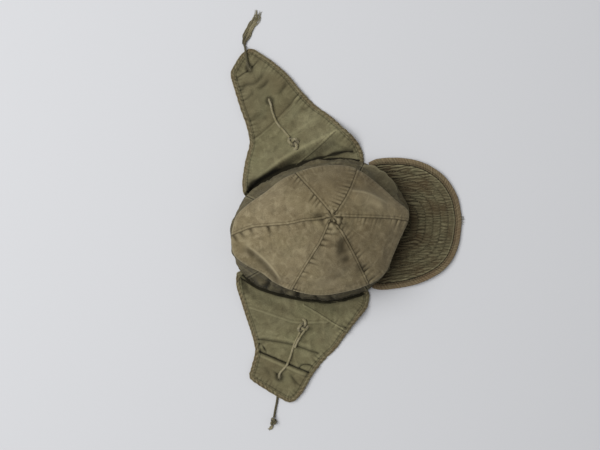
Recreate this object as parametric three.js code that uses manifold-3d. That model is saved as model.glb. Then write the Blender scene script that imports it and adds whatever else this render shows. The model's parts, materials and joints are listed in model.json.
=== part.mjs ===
// A soft field cap with a quilted visor, a six-panel crown, a side band and two ear flaps with tie cords.
// Millimetres. +X is the visor, +Y the wearer's left, +Z up. The origin is under the middle, on the table.
// The flaps lie open on the table, so the root of each one stands up in a fold beside the band.
import * as THREE from "three";
import { mergeVertices } from "three/addons/utils/BufferGeometryUtils.js";
import Module from "manifold-3d";

const wasm = await Module();
wasm.setup();

// Driving dimensions
const clearance = 0.3; // between any two pieces that touch
const headRound = 600; // round the inside of the sweatband
const patternHeadRound = 600; // the head that all outlines below are drawn for, from the middle of the opening
const grade = headRound / patternHeadRound;
const bandHeight = 58;
const crownRise = 37; // from the top of the band to the middle of the crown
const crownMiddle = { x: 13 * grade, y: 16 * grade }; // the empty crown has slumped off the centre
const crownSeams = [2, 56, 110, 176, 241, 308]; // degrees round the rim, anticlockwise from the front
const crownHole = 5; // radius where the six points are gathered
const crownGather = { radius: 9, rise: 3.5, depth: 2 }; // the small bunch of cloth over it
// Radii of the band's outer face every 30 degrees, at the table and at the crown seam.
const baseRadii = graded([108, 113, 99, 88, 88.5, 103, 110, 110, 92.5, 88.5, 94, 97]);
const rimRadii = graded([100, 88, 83.5, 76, 76, 86, 105, 86.5, 76.5, 74.5, 80, 89]);

const crownCloth = 1.2;
const crownLiningCloth = 0.8;
const bandCloth = 1.2;
const bandLiningCloth = 0.8;
const sweatbandThickness = 1.4;
const sweatbandHeight = 32;
const sweatbandLift = 2; // above the band's lower edge
const sweatbandTop = sweatbandLift + sweatbandHeight;

const flapStack = { lining: 0.6, padding: 1.0, outer: 0.8 };
const flapHeight = flapStack.lining + flapStack.padding + flapStack.outer + 2 * clearance;
const flapRootLift = 2.5; // underside of the flap where it leaves the band
const flapRootCrest = 0.8; // share of the root over which it climbs to the fold's height
const flapFold = { x: -20 * grade, y: 97 * grade, z: 12, slant: 12 }; // a point on it, slant in degrees
const flapFall = 45; // distance over which the flap drops from the fold to the table
const flapRest = 0.4; // underside where the flap lies on the table
const flapTurnUp = 95; // degrees that the fold lets the flap turn up
const flapFoldSplit = 0.55; // share of the opening above the fold that is cut from the root side
const hemWidth = 6;
const hemSwell = 0.4; // how much thicker the hem is than the flap, above

const visorRootLift = 5; // underside of the visor along the band and on its fold line
const visorTipLift = 0.8;
const visorRootDepth = 30; // how far in from the band's face the binding is cut away
const visorFoldX = 119 * grade;
const visorTurnUp = 65;
const visorStack = { underside: 0.8, stiffener: 1.4, top: 0.9 };
const visorHeight = visorStack.underside + visorStack.stiffener + visorStack.top + 2 * clearance;
const visorSpread = 45; // degrees each side of the front that the visor's root covers
const visorEar = 0.035; // share of the binding at each end that runs on past the visor's layers
const visorBindingWidth = 8;
const visorBindingSwell = 0.4;

const cordDiameter = 2.5;
const eyeletWall = 1.0;
const eyelet = { length: 12, width: 4.4 }; // inside the stitched rim
const knot = { length: 15, width: 12, height: 8 };
const endKnot = { length: 9, width: 7.5, height: 7 };

const radians = THREE.MathUtils.degToRad;
const lerp = THREE.MathUtils.lerp;
const smooth = (value) => THREE.MathUtils.smoothstep(value, 0, 1);

const cotton = { crown: 0x7d755c, band: 0x817958, flap: 0x807b5d, flapHem: 0x857a60, visor: 0x524d38 };
const lining = { cloth: 0x6f6a52, padding: 0xb9b29a, sweatband: 0x5d5642, stiffener: 0x9a927c };
const trim = { binding: 0x756950, thread: 0x5e5741, cord: 0x7f765c };

const cap = new THREE.Group();

// Grades plain lengths, or the x and y that begin each point of an outline.
function graded(values) {
  const gradePoint = ([x, y, ...rest]) => [x * grade, y * grade, ...rest];
  return values.map((value) => (Array.isArray(value) ? gradePoint(value) : value * grade));
}

function addPiece(name, geometry, color, roughness = 0.95) {
  const material = new THREE.MeshStandardMaterial({ color, roughness, metalness: 0 });
  const mesh = new THREE.Mesh(geometry, material);
  mesh.name = name;
  cap.add(mesh);
}

// Solids

function closedGeometry(positions, index) {
  const geometry = new THREE.BufferGeometry();
  geometry.setAttribute("position", new THREE.Float32BufferAttribute(positions, 3));
  const corners = [0, 1, 2].map(() => new THREE.Vector3());
  let volume = 0;
  for (let i = 0; i < index.length; i += 3) {
    corners.forEach((corner, k) => corner.fromArray(positions, 3 * index[i + k]));
    volume += corners[0].dot(corners[1].cross(corners[2]));
  }
  geometry.setIndex(volume < 0 ? index.toReversed() : index);
  return geometry;
}

// A closed solid between two surfaces on one grid. surface(row, column, side) takes row and column
// from 0 to 1 and side 0 for the lower surface or 1 for the upper one. Columns can run all round.
function sheet(rows, columns, surface, around = false) {
  const positions = [];
  const index = [];
  const width = around ? columns : columns + 1;
  const half = (rows + 1) * width;
  for (const side of [0, 1]) {
    for (let row = 0; row <= rows; row += 1) {
      for (let column = 0; column < width; column += 1) {
        positions.push(...surface(row / rows, column / columns, side).toArray());
      }
    }
  }
  const quad = (a, b, c, d) => index.push(a, b, c, a, c, d);
  const at = (row, column) => row * width + (column % width);
  for (let row = 0; row < rows; row += 1) {
    for (let column = 0; column < columns; column += 1) {
      const corners = [at(row, column), at(row, column + 1), at(row + 1, column + 1), at(row + 1, column)];
      quad(...corners.map((corner) => corner + half));
      quad(corners[0], corners[3], corners[2], corners[1]);
    }
  }
  const wall = (a, b) => quad(half + b, half + a, a, b);
  for (let column = 0; column < columns; column += 1) {
    wall(at(0, column), at(0, column + 1));
    wall(at(rows, column + 1), at(rows, column));
  }
  if (!around) {
    for (let row = 0; row < rows; row += 1) {
      wall(at(row, columns), at(row + 1, columns));
      wall(at(row + 1, 0), at(row, 0));
    }
  }
  return closedGeometry(positions, index);
}

function toSolid(geometry) {
  const bare = geometry.clone();
  bare.deleteAttribute("normal");
  bare.deleteAttribute("uv");
  const merged = mergeVertices(bare, 1e-4);
  const vertProperties = merged.attributes.position.array;
  const triVerts = new Uint32Array(merged.index.array);
  return new wasm.Manifold(new wasm.Mesh({ numProp: 3, vertProperties, triVerts }));
}

function toGeometry(solid) {
  const mesh = solid.getMesh();
  const geometry = new THREE.BufferGeometry();
  geometry.setAttribute("position", new THREE.Float32BufferAttribute(mesh.vertProperties, 3));
  geometry.setIndex([...mesh.triVerts]);
  return geometry;
}

const subtract = (geometry, tool) => toGeometry(toSolid(geometry).subtract(toSolid(tool)));

// Cuts away all that lies behind a plane; normal points to the side that stays.
function keepInFront(geometry, point, normal) {
  const reach = 800;
  const block = new THREE.BoxGeometry(reach, reach, reach);
  const turn = new THREE.Quaternion().setFromUnitVectors(new THREE.Vector3(0, 0, 1), normal.clone().normalize());
  block.translate(0, 0, -reach / 2).applyQuaternion(turn).translate(point.x, point.y, point.z);
  return subtract(geometry, block);
}

// Outlines

// A smooth closed outline from radii at equal angles.
function radiusAt(radii, degrees) {
  const step = 360 / radii.length;
  const place = (((degrees / step) % radii.length) + radii.length) % radii.length;
  const start = Math.floor(place);
  const [a, b, c, d] = [-1, 0, 1, 2].map((k) => radii[(start + k + radii.length) % radii.length]);
  const t = place - start;
  return b + 0.5 * t * (c - a + t * (2 * a - 5 * b + 4 * c - d + t * (3 * (b - c) + d - a)));
}

function bandPoint(degrees, height, inset) {
  const share = height / bandHeight;
  const radius = lerp(radiusAt(baseRadii, degrees), radiusAt(rimRadii, degrees), share) - inset;
  return new THREE.Vector3(radius * Math.cos(radians(degrees)), radius * Math.sin(radians(degrees)), height);
}

// A point of the crown: out runs from 0 in the middle to 1 at the rim.
function crownPoint(degrees, out, inset) {
  const rim = bandPoint(degrees, bandHeight, inset);
  const height = bandHeight + clearance + (crownRise - inset) * (1 - out * out);
  return new THREE.Vector3(lerp(crownMiddle.x, rim.x, out), lerp(crownMiddle.y, rim.y, out), height);
}

// Crown

function crownPanel(from, to, inset, cloth) {
  const seamShare = 0.625; // of the clearance on each side of a seam; over half, as the seams run aslant
  return sheet(6, 7, (row, column, side) => {
    const rim = bandPoint(lerp(from, to, column), bandHeight, inset);
    const reach = Math.hypot(rim.x - crownMiddle.x, rim.y - crownMiddle.y);
    const out = lerp((crownHole + inset) / reach, 1, row);
    const seam = THREE.MathUtils.radToDeg((seamShare * clearance) / (out * Math.hypot(rim.x, rim.y)));
    return crownPoint(lerp(from + seam, to - seam, column), out, side ? inset : inset + cloth);
  });
}

function crown() {
  crownSeams.forEach((from, i) => {
    const to = crownSeams[i + 1] ?? crownSeams[0] + 360;
    addPiece(`crown_panel_${i + 1}`, crownPanel(from, to, 0, crownCloth), cotton.crown);
    const inset = crownCloth + clearance;
    addPiece(`crown_lining_${i + 1}`, crownPanel(from, to, inset, crownLiningCloth), lining.cloth);
  });
  // The gathered seam ends, drawn together and tacked over the hole in the middle.
  const { radius, rise, depth } = crownGather;
  const stem = crownHole - 2 * clearance;
  const profile = [
    [0, -depth], [stem * 0.7, -depth], [stem, clearance], [radius, clearance],
    [radius * 0.9, rise * 0.65], [radius * 0.45, rise * 0.9], [0, rise],
  ];
  const points = profile.map(([r, z]) => new THREE.Vector2(r, z));
  const gather = new THREE.LatheGeometry(points, 18).rotateX(Math.PI / 2);
  gather.translate(crownMiddle.x, crownMiddle.y, bandHeight + clearance + crownRise);
  addPiece("crown_gather", gather, cotton.crown);
}

// Band

const flapSpan = { left: [53, 150.5], right: [202.5, 304.5] }; // degrees of the band that each flap is sewn to

// All shells of the band share these stations, so that their facets stay parallel.
const bandStep = 7.5; // degrees
const bandLevels = [
  sweatbandLift, (sweatbandLift + sweatbandTop) / 2, sweatbandTop, (sweatbandTop + bandHeight) / 2,
];

function bandShell(angles, low, high, inset, thickness, around = false) {
  const levels = [low, ...bandLevels.filter((level) => level > low && level < high), high];
  const rows = levels.length - 1;
  const columns = around ? angles.length : angles.length - 1;
  return sheet(rows, columns, (row, column, side) => {
    const degrees = angles[Math.round(column * columns)];
    return bandPoint(degrees, levels[Math.round(row * rows)], side ? inset : inset + thickness);
  }, around);
}

// The stations of one section, which stops short of its two upright seams.
function sectionAngles(from, to) {
  const seam = THREE.MathUtils.radToDeg(clearance / 2 / radiusAt(baseRadii, (from + to) / 2));
  const first = Math.floor((from + seam) / bandStep) + 1;
  const last = Math.ceil((to - seam) / bandStep) - 1;
  const between = Array.from({ length: last - first + 1 }, (_, i) => (first + i) * bandStep);
  return [from + seam, ...between, to - seam];
}

const bandSection = (from, to) => bandShell(sectionAngles(from, to), 0, bandHeight, 0, bandCloth);

function bandRing(low, high, inset, thickness) {
  const angles = Array.from({ length: 360 / bandStep }, (_, i) => i * bandStep);
  return bandShell(angles, low, high, inset, thickness, true);
}

function band() {
  const [leftFront, leftBack] = flapSpan.left;
  const [rightBack, rightFront] = flapSpan.right;
  addPiece("band_front", bandSection(rightFront - 360, leftFront), cotton.band);
  addPiece("band_left", bandSection(leftFront, leftBack), cotton.band);
  addPiece("band_back", bandSection(leftBack, rightBack), cotton.band);
  addPiece("band_right", bandSection(rightBack, rightFront), cotton.band);
  const liningInset = bandCloth + clearance;
  const liningTop = bandHeight - clearance;
  addPiece("band_lining", bandRing(sweatbandLift, liningTop, liningInset, bandLiningCloth), lining.cloth);
  const sweatbandInset = liningInset + bandLiningCloth + clearance;
  const sweatband = bandRing(sweatbandLift, sweatbandTop, sweatbandInset, sweatbandThickness);
  addPiece("sweatband", sweatband, lining.sweatband, 0.8);
}

// Fold lines

// A straight fold: the two sides end in slanted faces that meet on the axis, along the undersides, so the
// moving side can turn up until the faces close and down without its underside meeting anything.
function foldCuts(point, outward, up, rootShare) {
  const cut = (sign, degrees) => ({
    point: point.clone().addScaledVector(outward, sign * clearance / 2),
    normal: outward.clone().multiplyScalar(sign * Math.cos(radians(degrees))).setZ(-Math.sin(radians(degrees))),
  });
  const margin = 2; // degrees left open at the top of the travel
  const opening = up + margin;
  return { root: cut(-1, opening * rootShare), moving: cut(1, opening * (1 - rootShare)) };
}

const cutBy = (geometry, cut) => keepInFront(geometry, cut.point, cut.normal);

// Ear flaps

// Each edge runs from the fold line out to the tip. Distances from the middle are positive outwards on
// both sides; side is +1 for the wearer's left and -1 for the right.
const flaps = {
  left: {
    side: 1,
    back: graded([[-89, 82], [-84, 102], [-79, 118], [-82, 137], [-88, 159], [-94, 186], [-96.5, 203], [-84, 225]]),
    tip: graded([-70, 233]),
    front: graded([
      [51.5, 112], [38.5, 125], [24, 141], [6.5, 156.5], [-10.5, 176], [-25.5, 197], [-42, 213.5], [-60, 228],
    ]),
    seam: graded([[-23.5, 84], [28, 120.5]]),
    lift: [58, 68],
    eyelets: graded([[-51, 166, 108], [-73, 208.5, 107]]),
  },
  right: {
    side: -1,
    back: graded([[-104.5, 79], [-100, 100], [-95, 119], [-92, 144], [-96, 158], [-100.5, 172], [-90, 187], [-67, 203]]),
    tip: graded([-54, 209.5]),
    front: graded([[41, 110], [21.5, 133], [9, 148], [-5, 160], [-22, 177], [-36, 198]]),
    seam: graded([[-26, 89.5], [22.5, 123]]),
    lift: [62, 74],
    eyelets: graded([[-64, 177, 106]]),
  },
};

const foldAlong = new THREE.Vector3(Math.cos(radians(flapFold.slant)), Math.sin(radians(flapFold.slant)), 0);
const foldOut = new THREE.Vector3(-foldAlong.y, foldAlong.x, 0);
const foldPoint = new THREE.Vector3(flapFold.x, flapFold.y, flapFold.z);
const cordLift = cordDiameter + 2 * clearance; // room under a flap for its cord

const pastFold = (x, y) => (x - foldPoint.x) * foldOut.x + (y - foldPoint.y) * foldOut.y;

// Height of a flap's underside. It falls from the fold to the table, then lifts to let the cord pass under.
function flapUnderside(flap, x, y) {
  const past = pastFold(x, y);
  const fall = Math.max(0, 1 - past / flapFall);
  const lift = smooth((past - flap.lift[0]) / (flap.lift[1] - flap.lift[0]));
  return flapRest + (foldPoint.z - flapRest) * fall * fall + (cordLift - flapRest) * lift;
}

// The outer edge of a flap as one curve, back edge first, and the share of it that is the back edge.
function flapBorder(flap) {
  const edge = [...flap.back, flap.tip, ...flap.front.toReversed()];
  const curve = new THREE.CatmullRomCurve3(edge.map(([x, y]) => new THREE.Vector3(x, y, 0)), false, "centripetal");
  curve.arcLengthDivisions = 400;
  const lengths = curve.getLengths(400);
  const tipShare = lengths[Math.round(400 * flap.back.length / (edge.length - 1))] / lengths[400];
  return { curve, tipShare };
}

function insetFrom(border, share, inset) {
  const point = border.curve.getPointAt(share);
  const tangent = border.curve.getTangentAt(share);
  return point.add(new THREE.Vector3(tangent.y, -tangent.x, 0).multiplyScalar(inset));
}

const place = (flap, x, y, z) => new THREE.Vector3(x, flap.side * y, z);

const flapRows = 12; // rows from the fold to the tip, shared by the layers and the hem
const flapTipEnd = 0.965; // the layers stop just short of the point where the two edges meet
const onBack = (border, along) => along * border.tipShare;
const onFront = (border, along) => 1 - along * (1 - border.tipShare);

// One layer of the moving part, between two heights above the underside.
function flapLayer(flap, border, low, high) {
  const inset = hemWidth + clearance;
  return sheet(flapRows, 8, (row, column, side) => {
    const along = row * flapTipEnd;
    const back = insetFrom(border, onBack(border, along), inset);
    const point = back.lerp(insetFrom(border, onFront(border, along), inset), column);
    if (row === 0) point.addScaledVector(foldOut, -1);
    const height = flapUnderside(flap, point.x, point.y) + (side ? high : low);
    return place(flap, point.x, point.y, height);
  });
}

function flapHem(flap, border) {
  const stations = [0, 0.2, 0.8, 1]; // across the hem, from the outer edge
  const fullness = [0.35, 1, 1, 0.8];
  const alongs = Array.from({ length: flapRows + 1 }, (_, i) => (i / flapRows) * flapTipEnd);
  const shares = [
    ...alongs.map((along) => onBack(border, along)),
    border.tipShare,
    ...alongs.toReversed().map((along) => onFront(border, along)),
  ];
  const rows = shares.length - 1;
  return sheet(rows, 3, (row, column, side) => {
    const station = Math.round(3 * column);
    const point = insetFrom(border, shares[Math.round(row * rows)], hemWidth * stations[station]);
    if (row === 0 || row === 1) point.addScaledVector(foldOut, -1);
    const middle = (flapHeight + hemSwell) / 2;
    const reach = middle * fullness[station];
    const height = flapUnderside(flap, point.x, point.y) + middle + (side ? reach : -reach);
    return place(flap, point.x, point.y, height);
  });
}

// One layer of the fixed root, from the band out to the fold line.
function flapRootLayer(flap, span, low, high) {
  const [backEnd, frontEnd] = [flap.back[0], flap.front[0]].map(([x, y]) => place(flap, x, y, 0));
  const angles = sectionAngles(...span);
  const columns = angles.length - 1;
  return sheet(5, columns, (row, column, side) => {
    const degrees = angles[Math.round(column * columns)];
    const atBand = bandPoint(degrees, flapRootLift, -clearance).setZ(0);
    const towardsBack = (degrees - span[0]) / (span[1] - span[0]);
    const atFold = frontEnd.clone().lerp(backEnd, flap.side > 0 ? towardsBack : 1 - towardsBack);
    const point = atBand.lerp(atFold, row);
    if (row === 1) point.add(new THREE.Vector3(foldOut.x, flap.side * foldOut.y, 0));
    return point.setZ(lerp(flapRootLift, foldPoint.z, smooth(row / flapRootCrest)) + (side ? high : low));
  });
}

// The two sides of the slanting seam that joins the front gusset to the flap.
function seamCuts(flap) {
  const [start, end] = flap.seam.map(([x, y]) => place(flap, x, y, 0));
  const along = end.clone().sub(start).normalize();
  const forward = new THREE.Vector3(along.y, -along.x, 0).multiplyScalar(flap.side);
  const cut = (sign) => ({
    point: start.clone().addScaledVector(forward, sign * clearance / 2),
    normal: forward.clone().multiplyScalar(sign),
  });
  return { main: cut(-1), gusset: cut(1) };
}

// A stitched eyelet through all layers: an oval rim with an oval hole, long way along the flap.
function eyeletShape(flap, [x, y, heading], grow) {
  const curve = new THREE.EllipseCurve(0, 0, eyelet.length / 2 + grow, eyelet.width / 2 + grow);
  const turn = radians(heading);
  const outline = curve.getPoints(14).slice(0, 14).map((p) => p.rotateAround(new THREE.Vector2(), turn));
  const placed = outline.map((p) => new THREE.Vector2(x + p.x, flap.side * (y + p.y)));
  return flap.side > 0 ? placed : placed.reverse();
}

function extrudeUp(outline, low, high, holes = []) {
  const shape = new THREE.Shape(outline);
  shape.holes = holes.map((hole) => new THREE.Path(hole));
  return new THREE.ExtrudeGeometry(shape, { depth: high - low, bevelEnabled: false }).translate(0, 0, low);
}

function earFlap(name) {
  const shape = flaps[name];
  const border = flapBorder(shape);
  const span = flapSpan[name];
  const outward = new THREE.Vector3(foldOut.x, shape.side * foldOut.y, 0);
  const fold = foldCuts(place(shape, foldPoint.x, foldPoint.y, foldPoint.z), outward, flapTurnUp, flapFoldSplit);
  const seam = seamCuts(shape);
  const liningTop = flapStack.lining;
  const paddingLow = liningTop + clearance;
  const outerLow = paddingLow + flapStack.padding + clearance;

  const rootOuter = cutBy(flapRootLayer(shape, span, paddingLow, flapHeight), fold.root);
  addPiece(`flap_${name}_root`, cutBy(rootOuter, seam.main), cotton.flap);
  addPiece(`flap_${name}_root_gusset`, cutBy(rootOuter, seam.gusset), cotton.flap);
  addPiece(`flap_${name}_root_lining`, cutBy(flapRootLayer(shape, span, 0, liningTop), fold.root), lining.cloth);

  const pierce = (geometry) => shape.eyelets.reduce((piece, at) => {
    return subtract(piece, extrudeUp(eyeletShape(shape, at, eyeletWall + clearance), 0, bandHeight));
  }, geometry);
  const layer = (low, high) => pierce(cutBy(flapLayer(shape, border, low, high), fold.moving));
  const outer = layer(outerLow, flapHeight);
  addPiece(`flap_${name}_outer`, cutBy(outer, seam.main), cotton.flap);
  addPiece(`flap_${name}_gusset`, cutBy(outer, seam.gusset), cotton.flap);
  addPiece(`flap_${name}_padding`, layer(paddingLow, paddingLow + flapStack.padding), lining.padding);
  addPiece(`flap_${name}_lining`, layer(0, liningTop), lining.cloth);
  addPiece(`flap_${name}_hem`, cutBy(flapHem(shape, border), fold.moving), cotton.flapHem);

  shape.eyelets.forEach((at, i) => {
    const under = flapUnderside(shape, at[0], at[1]);
    const hole = eyeletShape(shape, at, 0);
    const rim = extrudeUp(eyeletShape(shape, at, eyeletWall), under, under + flapHeight + clearance, [hole]);
    addPiece(`flap_${name}_eyelet_${i + 1}`, rim, trim.thread);
  });
}

// Visor

const visorEdge = graded([
  [69, 82], [78, 84.5], [100, 84], [120, 80.5], [136, 74.5], [148, 67], [159, 57], [168, 44], [174.5, 28], [177.5, 5],
  [175, -15], [169, -34], [160, -50], [147, -61], [131, -69], [112, -75], [88, -78.5], [70, -78.5], [61, -77],
]);
const visorOutward = new THREE.Vector3(1, 0, 0);
const visorFold = foldCuts(new THREE.Vector3(visorFoldX, 0, visorRootLift), visorOutward, visorTurnUp, 0.5);
const visorBorder = { curve: new THREE.CatmullRomCurve3(visorEdge.map(([x, y]) => new THREE.Vector3(x, y, 0))) };
visorBorder.curve.arcLengthDivisions = 400;

function visorUnderside(x) {
  const past = Math.max(0, x - visorFoldX) / (Math.max(...visorEdge.map((p) => p[0])) - visorFoldX);
  return lerp(visorRootLift, visorTipLift, past * past);
}

// One layer, from the band out to the binding, on the band's own stations.
const visorColumns = (2 * visorSpread) / bandStep;

function visorLayer(low, high) {
  return sheet(6, visorColumns, (row, column, side) => {
    const root = bandPoint(lerp(visorSpread, -visorSpread, column), visorRootLift, -clearance).setZ(0);
    const edge = insetFrom(visorBorder, lerp(visorEar, 1 - visorEar, column), visorBindingWidth + clearance);
    const point = root.lerp(edge, row);
    return point.setZ(visorUnderside(point.x) + (side ? high : low));
  });
}

function visorBinding() {
  const stations = [0, 0.2, 0.85, 1];
  const fullness = [0.35, 1, 1, 0.85];
  const steps = 2 * visorColumns;
  const alongs = Array.from({ length: steps + 1 }, (_, i) => lerp(visorEar, 1 - visorEar, i / steps));
  const shares = [0, ...alongs, 1];
  const rows = shares.length - 1;
  return sheet(rows, 3, (row, column, side) => {
    const station = Math.round(3 * column);
    const point = insetFrom(visorBorder, shares[Math.round(row * rows)], visorBindingWidth * stations[station]);
    const middle = (visorHeight + visorBindingSwell) / 2;
    const reach = middle * fullness[station];
    return point.setZ(visorUnderside(point.x) + middle + (side ? reach : -reach));
  });
}

function visor() {
  const stiffenerLow = visorStack.underside + clearance;
  const topLow = stiffenerLow + visorStack.stiffener + clearance;
  const top = visorLayer(topLow, visorHeight);
  const underside = visorLayer(0, visorStack.underside);
  const bandRoom = sheet(1, 180 / bandStep, (row, column, side) => {
    const height = lerp(-visorRootLift, 2 * visorRootLift + visorHeight, row);
    return bandPoint(lerp(-90, 90, column), height, side ? -clearance : visorRootDepth);
  });
  const binding = subtract(visorBinding(), bandRoom);
  const bindingRoot = cutBy(binding, visorFold.root);
  const middle = new THREE.Vector3();
  addPiece("visor_root_top", cutBy(visorLayer(stiffenerLow, visorHeight), visorFold.root), cotton.visor);
  addPiece("visor_root_underside", cutBy(underside, visorFold.root), lining.cloth);
  addPiece("visor_root_binding_left", keepInFront(bindingRoot, middle, new THREE.Vector3(0, 1, 0)), trim.binding);
  addPiece("visor_root_binding_right", keepInFront(bindingRoot, middle, new THREE.Vector3(0, -1, 0)), trim.binding);
  addPiece("visor_top", cutBy(top, visorFold.moving), cotton.visor);
  const stiffener = visorLayer(stiffenerLow, stiffenerLow + visorStack.stiffener);
  addPiece("visor_stiffener", cutBy(stiffener, visorFold.moving), lining.stiffener);
  addPiece("visor_underside", cutBy(underside, visorFold.moving), lining.cloth);
  addPiece("visor_binding", cutBy(binding, visorFold.moving), trim.binding);
}

// Tie cords

// Each cord leaves a knot near the root, runs along the flap and through its eyelets, and lies out on the
// table past the tip. A point is x, y outwards, where it runs and its gap there, if not the usual one:
// "over" the flap's top, "through" an eyelet or "under" it, on the table. Headings are in degrees.
const ties = {
  left: {
    knot: { at: graded([-24.6, 110.4]), heading: 121 },
    route: graded([
      [-29.4, 118.1, "over", 2.55], [-35.5, 127, "over", 0.95], [-43.5, 138, "over"], [-47.8, 150, "over", 0.75],
      [-49.2, 157.5, "over", 1.05], [-49.5, 160.8, "over"], [-51, 166, "through"], [-52.6, 171.2, "under"],
      [-54.6, 176, "under"], [-63, 190, "under"], [-69.8, 199.5, "under"], [-71.4, 203.2, "under"],
      [-73, 208.5, "through"], [-74.6, 213.8, "over"], [-75.3, 219.5, "over", 0.8], [-75.8, 226, "over", 0.85],
      [-76, 231.4, "over", 0.35], [-76.5, 235.4, "under", 2.35], [-77.3, 238.6, "under", 0.65],
    ]),
    fray: {
      name: "tassel", width: [3, 7.5], height: 3,
      path: graded([[-77.7, 240.2], [-75, 247], [-68, 259], [-60, 270], [-56, 282]]),
    },
  },
  right: {
    knot: { at: graded([-29.6, 115.1]), heading: 119 },
    route: graded([
      [-34, 123, "over", 2.75], [-38.3, 130.5, "over", 0.95], [-42.7, 138.5, "over"], [-47.8, 151.5, "over"],
      [-50.5, 157.5, "over", 1], [-54, 163.5, "over", 0.85], [-59, 168.4, "over"], [-62.6, 172.1, "over"],
      [-64, 177, "through"], [-65.4, 181.9, "under"], [-66.2, 187.5, "under"], [-67.3, 196, "under"],
      [-68.6, 205, "under"], [-70.6, 213, "under"], [-72.8, 221, "under", 0.75], [-74.3, 227.5, "under", 2.25],
    ]),
    endKnot: { at: graded([-75.5, 232.4]), heading: 103 },
    fray: {
      name: "tail", width: [2.4, 4.5], height: 2.4,
      path: graded([[-76.6, 236.9], [-79, 240], [-83, 243]]),
    },
  },
};

const cordGap = { over: 0.6, under: 0.35 };

function cordHeight(flap, x, y, level, gap = cordGap[level]) {
  const under = flapUnderside(flap, x, y);
  if (level === "over") return under + flapHeight + gap + cordDiameter / 2;
  return level === "under" ? gap + cordDiameter / 2 : under + flapHeight / 2;
}

function knotShape(size, flap, { at, heading }, surfaceAt) {
  const [x, y] = at;
  const step = 2;
  const slope = (dx, dy) => (surfaceAt(x + dx, y + dy) - surfaceAt(x - dx, y - dy)) / (2 * step);
  const normal = new THREE.Vector3(-slope(step, 0), -flap.side * slope(0, step), 1).normalize();
  const turn = new THREE.Quaternion().setFromUnitVectors(new THREE.Vector3(0, 0, 1), normal);
  const middle = place(flap, x, y, surfaceAt(x, y)).addScaledVector(normal, size.height / 2 + clearance);
  const ball = new THREE.SphereGeometry(0.5, 12, 8).scale(size.length, size.width, size.height);
  return ball.rotateZ(flap.side * radians(heading)).applyQuaternion(turn).translate(middle.x, middle.y, middle.z);
}

// A frayed end that lies flat on the table and widens along its path.
function fray(flap, { path, width, height }) {
  const curve = new THREE.CatmullRomCurve3(path.map(([x, y]) => new THREE.Vector3(x, y, 0)));
  const fullness = [0.3, 1, 1, 0.3]; // across it
  const tableGap = 0.2;
  return sheet(8, 3, (row, column, side) => {
    const tangent = curve.getTangentAt(row);
    const across = new THREE.Vector3(tangent.y, -tangent.x, 0);
    const point = curve.getPointAt(row).addScaledVector(across, (column - 0.5) * lerp(width[0], width[1], row));
    const reach = (height / 2) * fullness[Math.round(3 * column)];
    return place(flap, point.x, point.y, tableGap + height / 2 + (side ? reach : -reach));
  });
}

function cordTube(flap, route) {
  const points = route.map(([x, y, ...level]) => place(flap, x, y, cordHeight(flap, x, y, ...level)));
  const curve = new THREE.CatmullRomCurve3(points, false, "centripetal");
  const circle = new THREE.EllipseCurve(0, 0, cordDiameter / 2, cordDiameter / 2).getPoints(8);
  const section = new THREE.Shape(circle.slice(0, 8));
  const stepLength = 1.3 * cordDiameter; // short enough for the bends in the eyelets
  const steps = Math.round(curve.getLength() / stepLength);
  return new THREE.ExtrudeGeometry(section, { steps, extrudePath: curve, bevelEnabled: false });
}

function tie(name) {
  const flap = flaps[name];
  const { knot: rootKnot, route, endKnot: farKnot, fray: end } = ties[name];
  const flapTop = (x, y) => flapUnderside(flap, x, y) + flapHeight;
  addPiece(`tie_${name}_knot`, knotShape(knot, flap, rootKnot, flapTop), trim.cord);
  addPiece(`tie_${name}_cord`, cordTube(flap, route), trim.cord);
  if (farKnot) addPiece(`tie_${name}_end_knot`, knotShape(endKnot, flap, farKnot, () => 0), trim.cord);
  addPiece(`tie_${name}_${end.name}`, fray(flap, end), trim.cord);
}

crown();
band();
visor();
earFlap("left");
earFlap("right");
tie("left");
tie("right");

// The outlines above are set out from the middle of the head opening. The model's own origin is under
// the middle of the whole cap, leaving out the ties, which move about.
const extent = new THREE.Box3();
cap.children.filter((piece) => !piece.name.startsWith("tie_")).forEach((piece) => extent.expandByObject(piece));
const middle = extent.getCenter(new THREE.Vector3());
cap.position.set(-middle.x, -middle.y, 0);
const model = new THREE.Group().add(cap);

export default model;
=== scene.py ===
import json
import math

import bpy
import numpy as np
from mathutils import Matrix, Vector


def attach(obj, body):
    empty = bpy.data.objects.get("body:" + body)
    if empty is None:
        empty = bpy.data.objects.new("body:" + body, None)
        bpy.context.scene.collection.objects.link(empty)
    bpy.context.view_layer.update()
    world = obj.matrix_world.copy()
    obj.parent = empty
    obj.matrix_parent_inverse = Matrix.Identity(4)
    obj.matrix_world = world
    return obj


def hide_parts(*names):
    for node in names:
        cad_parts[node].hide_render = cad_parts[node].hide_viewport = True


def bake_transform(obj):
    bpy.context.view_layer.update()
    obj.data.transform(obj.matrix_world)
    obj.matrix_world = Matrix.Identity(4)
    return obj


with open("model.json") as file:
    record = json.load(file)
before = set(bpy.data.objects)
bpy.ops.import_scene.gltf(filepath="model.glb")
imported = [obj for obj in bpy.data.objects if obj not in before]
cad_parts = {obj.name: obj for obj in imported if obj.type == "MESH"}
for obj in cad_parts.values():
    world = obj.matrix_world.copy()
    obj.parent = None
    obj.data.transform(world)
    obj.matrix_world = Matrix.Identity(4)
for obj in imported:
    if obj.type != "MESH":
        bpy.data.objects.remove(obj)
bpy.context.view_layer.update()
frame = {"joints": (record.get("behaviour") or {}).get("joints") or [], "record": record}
mounts = {mount["name"]: mount for mount in frame["record"]["mounts"]}
joints = {joint["name"]: joint for joint in frame["joints"]}
restEdge = np.array(mounts["rest_edge"]["pos_m"]) * 1000
headMiddle = restEdge + [109.4, 0, 0]  # the rest edge is the band's lowest point at the back


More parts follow.
